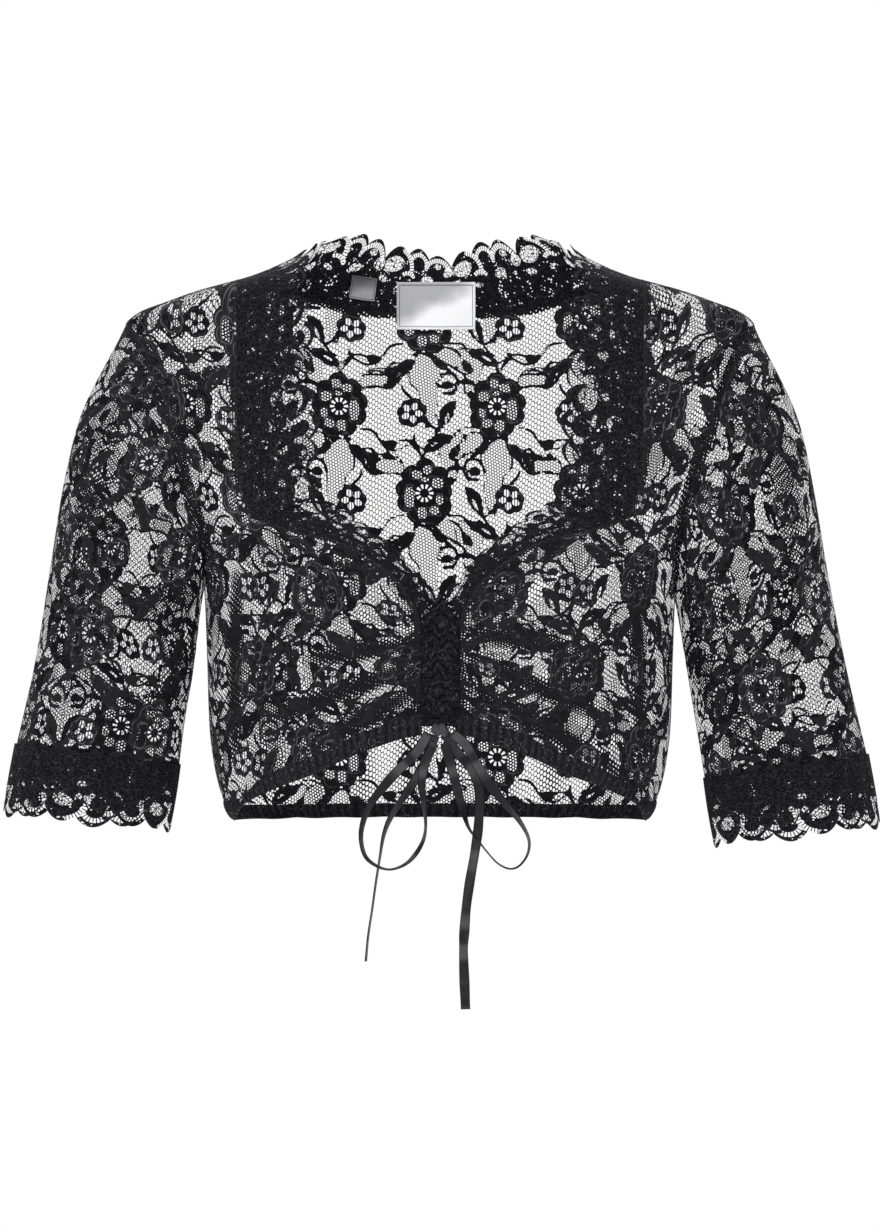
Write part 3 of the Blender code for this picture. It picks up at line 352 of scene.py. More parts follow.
def stemField(x, y, x1, y1, bow):
    # distance to a bowed line of four parts from the origin to x1, y1
    size = math.hypot(x1, y1)
    t = np.linspace(0.0, 1.0, 5)
    px = t * x1 - bow * 4 * t * (1 - t) * y1 / size
    py = t * y1 + bow * 4 * t * (1 - t) * x1 / size
    parts = zip(px, py, px[1:], py[1:])
    return np.sqrt(np.minimum.reduce([besideLine(x, y, *part)[1] for part in parts]))


def arcField(x, y, radius, first, last):
    middle = math.radians((first + last) / 2)
    half = math.radians((last - first) / 2)
    angle = np.abs(wrapped(np.arctan2(y, x) - middle, 2 * math.pi))
    tips = [np.hypot(x - radius * math.cos(math.radians(a)), y - radius * math.sin(math.radians(a)))
            for a in (first, last)]
    return np.where(angle < half, np.abs(np.hypot(x, y) - radius), np.minimum(*tips))


def blended(a, b, reach):
    # the nearer of two shapes, run together where they meet
    h = np.clip(0.5 + 0.5 * (b - a) / reach, 0, 1)
    return b * (1 - h) + a * h - reach * h * (1 - h)


def patchField(x, y, halfWide, halfTall):
    # a rounded rectangle
    return ((np.abs(x / halfWide) ** 3 + np.abs(y / halfTall) ** 3) ** (1 / 3) - 1) * min(halfWide, halfTall)


def motifFields(x, y):
    # signed distances: under 0 in solid motifs, in fine net, and near the raised outline threads
    periodX, periodY = lace["period"]
    plainX, plainY = x, y
    roundX, roundY = 2 * math.pi / periodX, 2 * math.pi / periodY
    # everything but the flowers sways a little
    x = plainX + 1.1 * np.sin(3 * roundY * plainY) + 0.55 * np.sin(8 * roundX * plainX)
    y = plainY + 0.9 * np.sin(4 * roundX * plainX) + 0.55 * np.sin(9 * roundY * plainY)

    def local(atX, atY):
        return wrapped(x - atX, periodX), wrapped(y - atY, periodY)

    px, py = wrapped(plainX, periodX), wrapped(plainY, periodY)
    angle = np.arctan2(py, px)
    wide, tall = lace["flower"]
    reach = 1 / np.sqrt((np.cos(angle) / wide) ** 2 + (np.sin(angle) / tall) ** 2)
    reach = reach * (1 + 0.045 * np.sin(2 * angle + 1.0) + 0.035 * np.sin(3 * angle + 2.4))
    lobes = np.abs(np.sin(lace["flowerLobes"] * angle + 0.6)) ** 0.55
    edge = reach * (1 - lace["lobeDepth"] * (1 - lobes))
    radius = np.hypot(px, py)
    solid = radius - edge
    outline = np.minimum(np.abs(radius - edge + 1.7), np.abs(radius - edge * 0.66 + 1.2) + 0.15)
    petals = np.full(x.shape, 99.0, x.dtype)
    half = lace["petalHalf"]
    for atX, atY, patchWide, patchTall in petalPatches:
        petals = np.minimum(petals, patchField(px - atX, py - atY, patchWide * half, patchTall * half))
    solid = np.maximum(solid, -petals)
    fine = petals

    smallX, smallY = lace["small"]
    px, py = wrapped(plainX - smallX, periodX), wrapped(plainY - smallY, periodY)
    angle = np.arctan2(py, px)
    edge = lace["smallRadius"] * (0.84 + 0.16 * np.abs(np.sin(3.5 * angle + 0.4)) ** 0.6)
    small = np.hypot(px, py) - edge * (1 + 0.06 * np.sin(2 * angle))
    solid = np.minimum(solid, small)
    outline = np.minimum(outline, np.abs(small + 1.4))

    for atX, atY, length, width, turn, slitLong, slitWide, slitOff in leafRows:
        qx, qy = turned(*local(atX, atY), turn)
        qy = qy + qx**2 * 0.012
        leaf = leafField(qx, qy + 0.35 * np.sin(qx * 1.25), length, width)
        outline = np.minimum(outline, np.abs(leaf + 1.1) + 0.20)
        if slitLong:
            leaf = np.maximum(leaf, -leafField(qx + 0.1 * length, qy - slitOff, slitLong, slitWide))
        solid = np.minimum(solid, leaf)
    for atX, atY, size in dotRows:
        solid = np.minimum(solid, np.hypot(*local(atX, atY)) - size)
    for atX, atY, size, first, last, half in arcRows:
        solid = np.minimum(solid, arcField(*local(atX, atY), size, first, last) - half)
    for x0, y0, x1, y1, bow, half in stemRows:
        solid = np.minimum(solid, stemField(*local(x0, y0), x1 - x0, y1 - y0, bow) - half)
    region = np.full(x.shape, 99.0, x.dtype)
    for budX, budY, halfWide, halfTall, budTurn, tailX, tailY, length, width, tailTurn in fineRows:
        bud = ovalField(*turned(*local(budX, budY), budTurn), halfWide, halfTall)
        tail = leafField(*turned(*local(tailX, tailY), tailTurn), length, width)
        region = np.minimum(region, blended(bud, tail, 6.0))
    solid = np.minimum(solid, np.abs(region) - 0.50)
    outline = np.minimum(outline, np.abs(petals - 0.75) + 0.12)
    return solid, np.minimum(fine, region), outline, petals


def laceFields(u, v):
    x = (1000 * u).astype(np.float32)
    y = (1000 * v).astype(np.float32)
    glideX, glideY = lace["glide"]
    first = motifFields(x, y)
    second = motifFields(glideX - x, y - glideY)
    solid, fine, outline, petals = (np.clip(np.minimum(a, b), -4, 4) for a, b in zip(first, second))
    return {"solid": solid, "fineNet": fine, "outline": outline,
            "petalNet": (petals < 0) * lace["petalLayers"]}


# The edging: a dense band and a scalloped fringe, in millimetres

edgingPattern = {"period": 57.6}
# Open net in the fringe. Columns: along, across from the seam, half length, half height, turn in degrees
fringePatches = (
    (9.5, 31, 8, 5, 14), (38, 24, 4.6, 2.6, 10), (4, 21, 3.6, 2, -15), (54.5, 29.5, 4.2, 3.4, 30),
    (20, 18.5, 3, 1.6, 0), (46.5, 34.5, 3, 2.2, 0),
)
# Ladder slots. Columns: along, across, radius, first and last angle in degrees, half width
ladderRows = (
    (12, 28.5, 12.6, 2, 76, 1.65), (29.5, 33.5, 7.2, -12, 150, 1.45), (22.5, 21.5, 5.6, 40, 130, 1.35),
    (45.5, 28.5, 10.4, 20, 150, 1.65),
)


def edgingFields(s, t, free):
    # s runs along, t across from the seam, and free is the distance to the scalloped edge
    x = s % edgingPattern["period"]
    opened = np.full(x.shape, 99.0)
    ladder = np.full(x.shape, 99.0)
    rung = np.zeros(x.shape)
    for atX, atY, halfLong, halfTall, turn in fringePatches:
        px = wrapped(x - atX, edgingPattern["period"])
        opened = np.minimum(opened, ovalField(*turned(px, t - atY, turn), halfLong, halfTall))
    for atX, atY, radius, first, last, half in ladderRows:
        px = wrapped(x - atX, edgingPattern["period"])
        away = arcField(px, t - atY, radius, first, last) - half
        rung = np.where(away < ladder, np.arctan2(t - atY, px) * radius, rung)
        ladder = np.minimum(ladder, away)
    return {"opened": np.clip(opened, -4, 4), "ladder": np.clip(ladder, -4, 4), "rung": rung,
            "free": np.clip(free, 0, 9)}


# Meshes

def gridQuads(rows, columns, flip):
    grid = np.arange(rows * columns).reshape(rows, columns)
    quads = np.stack([grid[:-1, :-1], grid[:-1, 1:], grid[1:, 1:], grid[1:, :-1]], axis=-1).reshape(-1, 4)
    return quads[:, ::-1] if flip else quads


def meshFrom(name, points, quads, uv, fields, finish, places=None):
    # places joins grid points that lie on each other
    mesh = bpy.data.meshes.new(name)
    corners = quads.ravel()
    mesh.vertices.add(len(points))
    mesh.vertices.foreach_set("co", points.astype(np.float32).ravel())
    mesh.loops.add(len(corners))
    mesh.loops.foreach_set("vertex_index", (corners if places is None else places[corners]).astype(np.int32))
    mesh.polygons.add(len(quads))
    mesh.polygons.foreach_set("loop_start", np.arange(0, len(corners), 4, dtype=np.int32))
    mesh.polygons.foreach_set("use_smooth", np.ones(len(quads), bool))
    mesh.update(calc_edges=True)
    layer = mesh.uv_layers.new(name="cloth")
    layer.data.foreach_set("uv", uv.reshape(-1, 2)[corners].astype(np.float32).ravel())
    for word, values in fields.items():
        attribute = mesh.attributes.new(word, "FLOAT", "CORNER")
        attribute.data.foreach_set("value", values.ravel()[corners].astype(np.float32))
    mesh.materials.append(finish)
    mesh.validate()
    return shown(name, mesh)


def shown(name, mesh):
    piece = bpy.data.objects.new(name, mesh)
    bpy.context.scene.collection.objects.link(piece)
    return piece


def sewnEdge(points, edge):
    # under 0 where the edging is sewn onto the panel, with an uneven outline
    across, down = rowLengths(points, 1), rowLengths(points, 0)
    s = {"firstRow": across[:1], "lastRow": across[-1:], "firstColumn": down[:, :1]}[edge] * 1000
    reach = 1.9 + 1.7 * np.sin(0.42 * s + 1.5 * np.sin(0.13 * s)) + 0.9 * np.sin(1.15 * s + 0.7)
    return edgeDistance(points, [edge]) * 1000 - np.maximum(reach, 0.5)


def facesOutward(points, normals):
    across = np.gradient(points, axis=1)
    down = np.gradient(points, axis=0)
    return np.sum(np.cross(across, down) * normals) > 0


def sheetPiece(name, points, normals, uv, fields, finish, ring=False):
    # one layer of cloth; a ring's grid has its first column again as its last
    rows, columns = points.shape[:2]
    quads = gridQuads(rows, columns, not facesOutward(points, normals))
    if not ring:
        return meshFrom(name, points.reshape(-1, 3), quads, uv, fields, finish)
    grid = np.arange(rows * (columns - 1)).reshape(rows, columns - 1)
    places = np.concatenate([grid, grid[:, :1]], axis=1).ravel()
    return meshFrom(name, points[:, :-1].reshape(-1, 3), quads, uv, fields, finish, places)


def shellPiece(name, points, normals, thick, uv, fields, finish):
    # two layers of cloth closed round the rim
    rows, columns = points.shape[:2]
    half = rows * columns
    outward = facesOutward(points, normals)
    grid = np.arange(half).reshape(rows, columns)
    rim = np.concatenate([grid[0, :-1], grid[:-1, -1], grid[-1, :0:-1], grid[:0:-1, 0]])
    after = np.roll(rim, -1)
    walls = np.stack([after, rim, rim + half, after + half], axis=1)
    quads = np.concatenate([gridQuads(rows, columns, not outward), gridQuads(rows, columns, outward) + half,
                            walls if outward else walls[:, ::-1]])
    both = np.stack([points, points - normals * thick]).reshape(-1, 3)
    fields = {word: np.stack([values, values]) for word, values in fields.items()}
    return meshFrom(name, both, quads, np.stack([uv, uv]), fields, finish)


def rowLengths(points, axis):
    # distance along the grid from its first row (axis 0) or column (axis 1)
    steps = np.linalg.norm(np.diff(points, axis=axis, prepend=np.take(points, [0], axis=axis)), axis=2)
    return np.cumsum(steps, axis=axis)


def edgeDistance(points, edges):
    # distance to the nearest of the named edges of a grid
    across, down = rowLengths(points, 1), rowLengths(points, 0)
    found = {"firstColumn": across, "lastColumn": across[:, -1:] - across,
             "firstRow": down, "lastRow": down[-1:] - down}
    return np.minimum.reduce([found[edge] for edge in edges])


# Shaders

class Wire:
    # an output socket, so that sums on sockets read as sums
    def __init__(self, board, socket):
        self.board = board
        self.socket = socket


def onWires(operation, swapped):
    def apply(self, other=0.0):
        return self.board.maths(operation, *((other, self) if swapped else (self, other)))

    return apply


for word, operation in (("add", "ADD"), ("sub", "SUBTRACT"), ("mul", "MULTIPLY"), ("truediv", "DIVIDE"),
                        ("mod", "FLOORED_MODULO"), ("lt", "LESS_THAN"), ("gt", "GREATER_THAN"),
                        ("abs", "ABSOLUTE"), ("radd", "ADD"), ("rsub", "SUBTRACT"), ("rmul", "MULTIPLY")):
    setattr(Wire, f"__{word}__", onWires(operation, word[0] == "r"))


class Board:
    # one material's nodes
    def __init__(self, name, roughness, specular):
        self.material = bpy.data.materials.new(name)
        self.material.use_nodes = True
        self.tree = self.material.node_tree
        self.shader = self.tree.nodes["Principled BSDF"]
        self.finish(Roughness=roughness, Specular_IOR_Level=specular)

    def put(self, socket, value):
        if isinstance(value, Wire):
            self.tree.links.new(value.socket, socket)
        else:
            socket.default_value = value

    def node(self, kind, settings=None, sockets=None, out=0):
        made = self.tree.nodes.new("ShaderNode" + kind)
        for word, value in (settings or {}).items():
            setattr(made, word, value)
        for word, value in (sockets or {}).items():
            self.put(made.inputs[word], value)
        return Wire(self, made.outputs[out])

    def maths(self, operation, *values):
        return self.node("Math", {"operation": operation}, dict(enumerate(values)))

    def vector(self, operation, *values):
        return self.node("VectorMath", {"operation": operation}, dict(enumerate(values)))

    def least(self, a, b):
        return self.maths("MINIMUM", a, b)

    def most(self, a, b):
        return self.maths("MAXIMUM", a, b)

    def between(self, value, low, high):
        # 0 up to low, 1 from high on, smooth between them
        settings = {"interpolation_type": "SMOOTHSTEP"}
        return self.node("MapRange", settings, {"Value": value, "From Min": low, "From Max": high})

    def mixed(self, share, a, b):
        return self.node("Mix", {"data_type": "RGBA"}, {"Factor": share, 6: a, 7: b}, 2)

    def field(self, name):
        return self.node("Attribute", {"attribute_name": name}, {}, "Fac")

    def noise(self, place, scale, detail, out="Fac", settings=None, socket="Vector"):
        return self.node("TexNoise", settings, {socket: place, "Scale": scale, "Detail": detail}, out)

    def cells(self, place, scale, feature="F1"):
        return self.node("TexVoronoi", {"feature": feature}, {"Vector": place, "Scale": scale}, "Distance")

    def bump(self, strength, distance, height):
        return self.node("Bump", {}, {"Strength": strength, "Distance": distance, "Height": height}, "Normal")

    def finish(self, **sockets):
        for word, value in sockets.items():
            self.put(self.shader.inputs[word.replace("_", " ")], value)
        return self.material


def ink(level, blue):
    return (level, level, blue, 1)


# Colours of the cloths and of the threads on them; the tones named highlight, glint and sheen are painted
# light, lighter where raised threads, gather crests and satin would catch the light
tones = {
    "laceDark": ink(0.0030, 0.0042), "laceLight": ink(0.017, 0.021), "laceOutlineHighlight": ink(0.072, 0.080),
    "laceNet": ink(0.0070, 0.0086),
    "edgingDark": ink(0.0007, 0.0010), "edgingLight": ink(0.0062, 0.0076),
    "edgingCurlHighlight": ink(0.036, 0.042), "edgingRimHighlight": ink(0.020, 0.024),
    "casingDark": ink(0.0010, 0.0016), "casingCrestHighlight": ink(0.0120, 0.0155),
    "casingCurlHighlight": ink(0.062, 0.072), "casingGlint": ink(0.20, 0.21),
    "satinDark": ink(0.0022, 0.0029), "satinLight": ink(0.0075, 0.0088), "satinPaintedSheen": ink(0.050, 0.055),
    "selvedge": ink(0.0040, 0.0048), "labelFrame": ink(0.030, 0.032),
    "threadDark": ink(0.010, 0.012), "threadLight": ink(0.036, 0.042),
}


def clothPlace(board):
    # the cloth's own coordinates in millimetres: a vector, across and up
    place = board.vector("MULTIPLY", board.node("UVMap", {"uv_map": "cloth"}, {}, "UV"), (1000, 1000, 1000))
    return [place] + [board.node("SeparateXYZ", {}, {0: place}, k) for k in (0, 1)]


def hexNet(board, x, y, cell, lean=0.0):
    # distance from a cell's middle: 0 there and 0.5 on the threads of a six-sided net,
    # whose cells follow each other along x
    px = (x - y * lean) / cell[0]
    py = y / cell[1]
    found = []
    for shift in (0.0, 0.5):
        gx = abs((px + shift) % 1.0 - 0.5)
        gy = abs((py + shift * math.sqrt(3)) % math.sqrt(3) - math.sqrt(3) / 2)
        found.append(board.most(gx, gx * 0.5 + gy * (math.sqrt(3) / 2)))
    return board.least(*found)


def rosette(board, x, y, at, mirrored):
    # turn, distance and sideways place from the middle of the nearest flower of one kind
    periodX, periodY = lace["period"]
    glideX, glideY = lace["glide"]
    if mirrored:
        x, y = glideX - x, y - glideY
    px = (x - (at[0] - periodX / 2)) % periodX - periodX / 2
    py = (y - (at[1] - periodY / 2)) % periodY - periodY / 2
    return board.maths("ARCTAN2", py, px), board.maths("SQRT", px * px + py * py), px


def threadTexture(board, place, stretch=(1, 1, 1)):
    # tangled threads: a mask of thread curls (used for relief, and for a painted highlight where a finish
    # lightens them), a slow cloud and a fine grain, each 0 to 1
    bent = board.vector("MULTIPLY_ADD", board.noise(place, 0.30, 2, "Color"), (3.2, 3.2, 0), place)
    bent = board.vector("MULTIPLY", bent, stretch)
    curls = 1 - board.between(board.cells(bent, 0.50, "DISTANCE_TO_EDGE"), 0.03, 0.14)
    return curls, board.noise(place, 0.17, 4), board.noise(place, 0.85, 2)


def laceFinish():
    board = Board("laceNet", 0.85, 0.05)
    place, x, y = clothPlace(board)
    wobble = board.noise(place, 0.11, 1)
    netX = x + wobble * 2.4
    layers = board.field("layers")
    net = hexNet(board, y + wobble * 1.8, netX, lace["netCell"], 0.30)
    fineNet = hexNet(board, netX * 0.83 + y * 0.56, y * 0.83 - netX * 0.56, lace["fineCell"])
    solid = board.field("solid") < 0.0
    fine = board.field("fineNet") < 0.0
    netHole = net < 0.5 - lace["netThread"] - layers * 0.36
    fineHole = fineNet < 0.5 - lace["fineThread"] - layers * 0.34
    holes = (1 - solid) * (netHole * (1 - fine) + fineHole * fine)
    dark = 0.0
    for mirrored in (False, True):
        slots, radius, away = rosette(board, x, y, (0.0, 0.0), mirrored)
        eye = (board.maths("COSINE", slots * 10) > 0.05) * (radius > 3.0) * (radius < 5.7)
        dark = board.most(dark, (radius < 6.4) * (1 - eye))
        holes = board.most(holes, eye * (1 - layers * 0.6))
        slots, radius, away = rosette(board, x, y, lace["small"], mirrored)
        petal = board.maths("COSINE", slots * 5 + 0.6)
        stripes = ((away % 1.75) > 0.60) * (radius > 2.1) * (radius < petal * 1.3 + 5.6) * (petal > -0.72)
        holes = board.most(holes, stripes * (1 - layers * 0.6))
        dark = board.most(dark, radius < 1.9)
    holes = holes * (1 - dark)
    cloud, grain = threadTexture(board, place)[1:]
    outline = (1 - board.between(board.field("outline"), 0.22, 0.58)) * solid * (1 - dark)
    tone = board.mixed(cloud * 0.5 + grain * 0.5, tones["laceDark"], tones["laceLight"])
    # painted highlight: the raised outline threads are drawn lighter, as where they catch the light
    tone = board.mixed(outline * 0.85, tone, tones["laceOutlineHighlight"])
    tone = board.mixed(1 - solid, tone, tones["laceNet"])
    relief = solid * (0.50 + grain * 0.35) + outline * 0.6 + board.between(net, 0.40, 0.5) * 0.3
    return board.finish(Base_Color=tone, Alpha=1 - holes, Normal=board.bump(0.75, 0.0005, relief),
                        Roughness=0.88 - outline * 0.25)


def edgingFinish():
    board = Board("laceEdging", 0.85, 0.05)
    place = clothPlace(board)[0]
    curls, cloud, grain = threadTexture(board, place, (0.62, 1.25, 1))
    opened, ladder = board.field("opened"), board.field("ladder")
    bent = board.vector("MULTIPLY_ADD", board.noise(place, 0.3, 1, "Color"), (1.2, 1.2, 0), place)
    net = board.cells(bent, 0.50, "DISTANCE_TO_EDGE") > 0.085
    rungs = (board.field("rung") % 1.9) > 0.62
    pins = board.cells(bent, 0.60) < board.between(cloud, 0.47, 0.60) * 0.33
    holes = board.most(board.most((opened < 0.0) * net, (ladder < 0.0) * rungs), pins)
    holes = holes * (1 - board.field("layers"))
    rim = 1 - board.between(board.field("free"), 0.7, 1.7)
    border = 1 - board.between(abs(board.least(opened, ladder)), 0.35, 0.95)
    line = board.most(rim * 0.5, border * 0.6)
    tone = board.mixed(cloud * 0.45 + grain * 0.55, tones["edgingDark"], tones["edgingLight"])
    # painted highlight: thread curls, and the rim and border lines round the openings, are drawn lighter, as
    # where raised threads catch the light
    tone = board.mixed(curls * cloud * grain * 1.5, tone, tones["edgingCurlHighlight"])
    tone = board.mixed(line * 0.5, tone, tones["edgingRimHighlight"])
    bump = board.bump(0.9, 0.0006, curls * 0.5 + line * 0.7 + grain * 0.4)
    return board.finish(Base_Color=tone, Alpha=1 - holes, Normal=bump, Roughness=0.88 - line * 0.2)


def casingFinish():
    board = Board("casingCloth", 0.85, 0.05)
    place = clothPlace(board)[0]
    curls, cloud, grain = threadTexture(board, place, (1.3, 0.6, 1))
    crest = board.field("crest")
    # painted glints: small bright specks of light scattered where the slow cloud allows them
    light = board.cells(place, 0.55) < board.between(cloud, 0.40, 0.62) * 0.24
    # painted highlight and shade: gather crests drawn lighter and the hollows between them darker, mixed with
    # random grain; thread curls on the crests get a painted highlight too
    tone = board.mixed(crest * 0.65 + grain * 0.35, tones["casingDark"], tones["casingCrestHighlight"])
    tone = board.mixed(curls * crest * grain, tone, tones["casingCurlHighlight"])
    tone = board.mixed(light * 0.75, tone, tones["casingGlint"])
    bump = board.bump(0.8, 0.0005, curls * 0.6 + grain * 0.5)
    return board.finish(Base_Color=tone, Normal=bump, Roughness=0.88 - light * 0.15)


def satinFinish():
    board = Board("ribbonSatin", 0.3, 0.16)
    place, x, y = clothPlace(board)
    weft = board.maths("SINE", y * (2 * math.pi / 0.22))
    drawn = board.vector("MULTIPLY", place, (0.9, 0.05, 1))
    streak = board.noise(drawn, 1.6, 3, settings={"noise_dimensions": "2D"})
    # painted sheen: slow bands along the ribbon drawn lighter, as where the satin catches the light
    paintedSheen = board.noise(y, 0.055, 1, settings={"noise_dimensions": "1D"}, socket="W")
    selvedge = board.between(abs(x), 2.35, 2.70)
    tone = board.mixed(streak, tones["satinDark"], tones["satinLight"])
    tone = board.mixed(board.between(paintedSheen, 0.47, 0.66) * 0.8, tone, tones["satinPaintedSheen"])
    tone = board.mixed(selvedge, tone, tones["selvedge"])
    bump = board.bump(0.25, 0.0002, weft * 0.3 + streak * 0.5 - selvedge * 0.5)
    return board.finish(Base_Color=tone, Normal=bump, Roughness=0.30 + streak * 0.16 + selvedge * 0.2,
                        Anisotropic=0.5)


labels = {
    # Columns: middle x, middle z, width, height, tilt in degrees
    "main": (-0.0025, -0.0220, 0.0496, 0.0291, 0.0),
    "size": (-0.0484, -0.0112, 0.0160, 0.0140, -8.0),
    "wall": 0.0012, "clear": 0.0007, "thick": 0.0005,
}


def labelFinish(name, light, dark, alpha, size, inset):
    # woven satin with a painted sheen, a diagonal sweep from the light tone to the dark one, and a thin frame
    # line inset from its edges
    board = Board(name, 0.4, 0.4)
    place, x, y = clothPlace(board)
    cloud = board.noise(place, 0.045, 1.5)
    paintedSheenSlope = board.between(x * 0.5 - y + (cloud - 0.5) * 26, -9.0, 6.0)
    weft = board.maths("SINE", y * (2 * math.pi / 0.30))
    warp = board.maths("SINE", x * (2 * math.pi / 0.42))
    tone = board.mixed(1 - paintedSheenSlope, ink(light, light + 0.01), ink(dark, dark + 0.01))
    frameLine = board.most(abs(x) - (size[0] * 500 - inset), abs(y) - (size[1] * 500 - inset))
    frameLine = 1 - board.between(abs(frameLine), 0.18, 0.42)
    tone = board.mixed(frameLine * 0.7, tone, tones["labelFrame"])
    bump = board.bump(0.3, 0.0002, weft * 0.4 + warp * 0.3)
    return board.finish(Base_Color=tone, Normal=bump, Roughness=0.34 + cloud * 0.2, Alpha=alpha)


def threadFinish():
    board = Board("sewingThread", 0.6, 0.3)
    ply = board.noise(board.node("TexCoord", {}, {}, "Object"), 2500, 1)
    tone = board.mixed(ply, tones["threadDark"], tones["threadLight"])
    return board.finish(Base_Color=tone, Normal=board.bump(0.4, 0.0001, ply), Roughness=0.55 + ply * 0.2)


finishes = {
    "lace": laceFinish(), "edging": edgingFinish(), "casing": casingFinish(), "satin": satinFinish(),
    "label": labelFinish("labelSatin", 0.86, 0.36, 1.0, labels["main"][2:4], 1.8),
    "sizeLabel": labelFinish("labelSheer", 0.30, 0.060, 0.88, labels["size"][2:4], 0.9),
    "thread": threadFinish(),
}
print("finishes made")

# Pieces of the blouse


def keep(piece):
    # every piece is named like the node that it replaces
    node = "".join("_" + c.lower() if c.isupper() else c for c in piece.name)
    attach(piece, "root")
    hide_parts(node)


def armholeLine(table, samples):
    top, low = table[0, 0], table[-1, 0]
    z = (top + low) / 2 + (top - low) / 2 * np.cos(samples)
    return smoothCurve(table[::-1, 0], table[::-1, 1])(z), z


def outerEdge(side):
    # turn and height along a panel's outer edge: shoulder seam, armhole, side seam
    step = bodice["step"]
    table = armholeRight if side > 0 else armholeLeft
    top = strapSeam[0, 1] - bodice["shoulderGap"]
    ridgeZ = np.linspace(top, table[0, 0], bodice["shoulderRows"] * step + 1)
    samples = np.linspace(0.0, math.pi, bodice["armholeRows"] * step + 1)
    x, z = armholeLine(table, samples)
    turn = np.minimum(turnAt(x, z), math.pi / 2 - bodice["armholeBow"] * np.sin(samples))
    turn[0] = turn[-1] = math.pi / 2
    sideZ = np.linspace(table[-1, 0], bodice["sideEndZ"], bodice["sideRows"] * step + 1)
    ends = (len(ridgeZ) - 1, len(sideZ) - 1)
    return np.pad(turn, ends, constant_values=math.pi / 2), np.concatenate([ridgeZ[:-1], z, sideZ[1:]])


def frontGrid(side):
    step = bodice["step"]
    outerTurn, outerZ = outerEdge(side)
    half = casing["half"]
    last = bodice["centreRows"] * step
    inner = np.concatenate([
        along(strapSeam, bodice["strapRows"] * step, "front", bodice["strapCrowding"]),
        along(cupSeam, bodice["cupRows"] * step, "front")[1:],
        along(((half, casing["shoulderZ"]), (half, bodice["centreEndZ"])), last, "front")[1:],
    ])
    drop = hemLine(half) + bodice["frontHemHeight"] - inner[-1, 1]
    inner[-last:, 1] += drop * np.linspace(0.0, 1.0, last + 1)[1:]
    innerTurn = turnAt(inner[:, 0], inner[:, 1])
    innerTurn[0] = math.pi / 2
    s = np.linspace(0.0, 1.0, bodice["frontColumns"] * bodice["frontStep"] + 1)[None, :]
    turn = innerTurn[:, None] * (1 - s) + outerTurn[:, None] * s
    z = inner[:, 1][:, None] * (1 - s) + outerZ[:, None] * s
    lastX = halfWidth(z[-1]) * signedPower(np.sin(turn[-1]))
    drop = hemLine(np.minimum(lastX, frontHem[-1, 0])) + bodice["frontHemHeight"] - z[-1]
    drop *= ease(np.minimum(s[0], 1 - s[0]) / bodice["frontCorner"])
    rows = np.arange(len(inner)) / step
    start = bodice["strapRows"] + 4      # from here down the rows turn towards the hem's arch
    share = ease((rows - start) / (rows[-1] - start))
    return side * turn, z + share[:, None] * drop[None, :]


def backGrid():
    step = bodice["step"]
    rightTurn, rightZ = outerEdge(1)
    leftTurn, leftZ = outerEdge(-1)
    seam = along(backSeam, bodice["backColumns"] * bodice["backStep"] // 2, "back")
    seamTurn = turnAt(seam[:, 0], seam[:, 1])
    seamTurn[0] = math.pi / 2
    topTurn = np.concatenate([-seamTurn, seamTurn[::-1][1:]])
    topZ = np.concatenate([seam[:, 1], seam[::-1, 1][1:]])
    rightZ[0] = leftZ[0] = strapSeam[0, 1]
    s = np.linspace(0.0, 1.0, bodice["backColumns"] * bodice["backStep"] + 1)[None, :]
    turn = -leftTurn[:, None] * (1 - s) + rightTurn[:, None] * s
    z = leftZ[:, None] * (1 - s) + rightZ[:, None] * s
    rows = np.arange(len(leftZ)) / step
    share = 1 - ease((rows - bodice["shoulderRows"]) / bodice["armholeRows"])
    spread = 1 - ease(rows / bodice["shoulderRows"])
    turn = turn + spread[:, None] * (topTurn - turn[0])[None, :]
    z = z + share[:, None] * (topZ - z[0])[None, :]
    level = ease((rows - bodice["shoulderRows"] - bodice["armholeRows"]) / bodice["sideRows"])
    sag = bodice["backHemZ"] + bodice["backHemHeight"] - z[-1]
    sag *= ease(np.minimum(s[0], 1 - s[0]) / bodice["backCorner"])
    return turn, z + level[:, None] * sag[None, :]


def armholeRows():
    first = bodice["shoulderRows"] * bodice["step"]
    return slice(first, first + bodice["armholeRows"] * bodice["step"] + 1)


def flowerAt(points, uv, x, z, facing=-1.0):
    # moves the cloth so that a big flower stands at x, z as seen from the front
    away = (points[..., 0] - x) ** 2 + (points[..., 2] - z) ** 2 + (facing * points[..., 1] < 0) * 1.0
    return uv - uv[np.unravel_index(np.argmin(away), away.shape)]


def seamLayers(points, edges):
    # the seam allowance doubles the cloth beside these edges
    return 0.75 * (1 - ease((edgeDistance(points, edges) - bodice["allowance"]) / 0.0012))


panels = {
    # x and z of a big flower's middle on each panel, as seen from the front
    "flowerBack": (-0.0639, -0.0856), "flowerLeft": (-0.0756, -0.1990), "flowerRight": (0.0818, -0.2510),
    "sleeveFlowerLeft": (-0.1780, -0.1240), "sleeveFlowerRight": (0.1717, -0.1556),
    "gatherPull": 1.15, "gatherReach": 0.030, "gatherZ": -0.246,
}


def lacePiece(name, points, normals, uv, sewn, doubled, folded, ring=False):
    # net cloth: solid where the edging is sewn on, and closer where it lies double
    fields = laceFields(uv[..., 0], uv[..., 1])
    fields["solid"] = np.minimum(fields["solid"], sewnEdge(points, sewn))
    layers = [seamLayers(points, doubled), fields.pop("petalNet"), *folded]
    fields["layers"] = np.clip(np.maximum.reduce(layers), 0, 1)
    piece = sheetPiece(name, points, normals, uv, fields, finishes["lace"], ring)
    keep(piece)


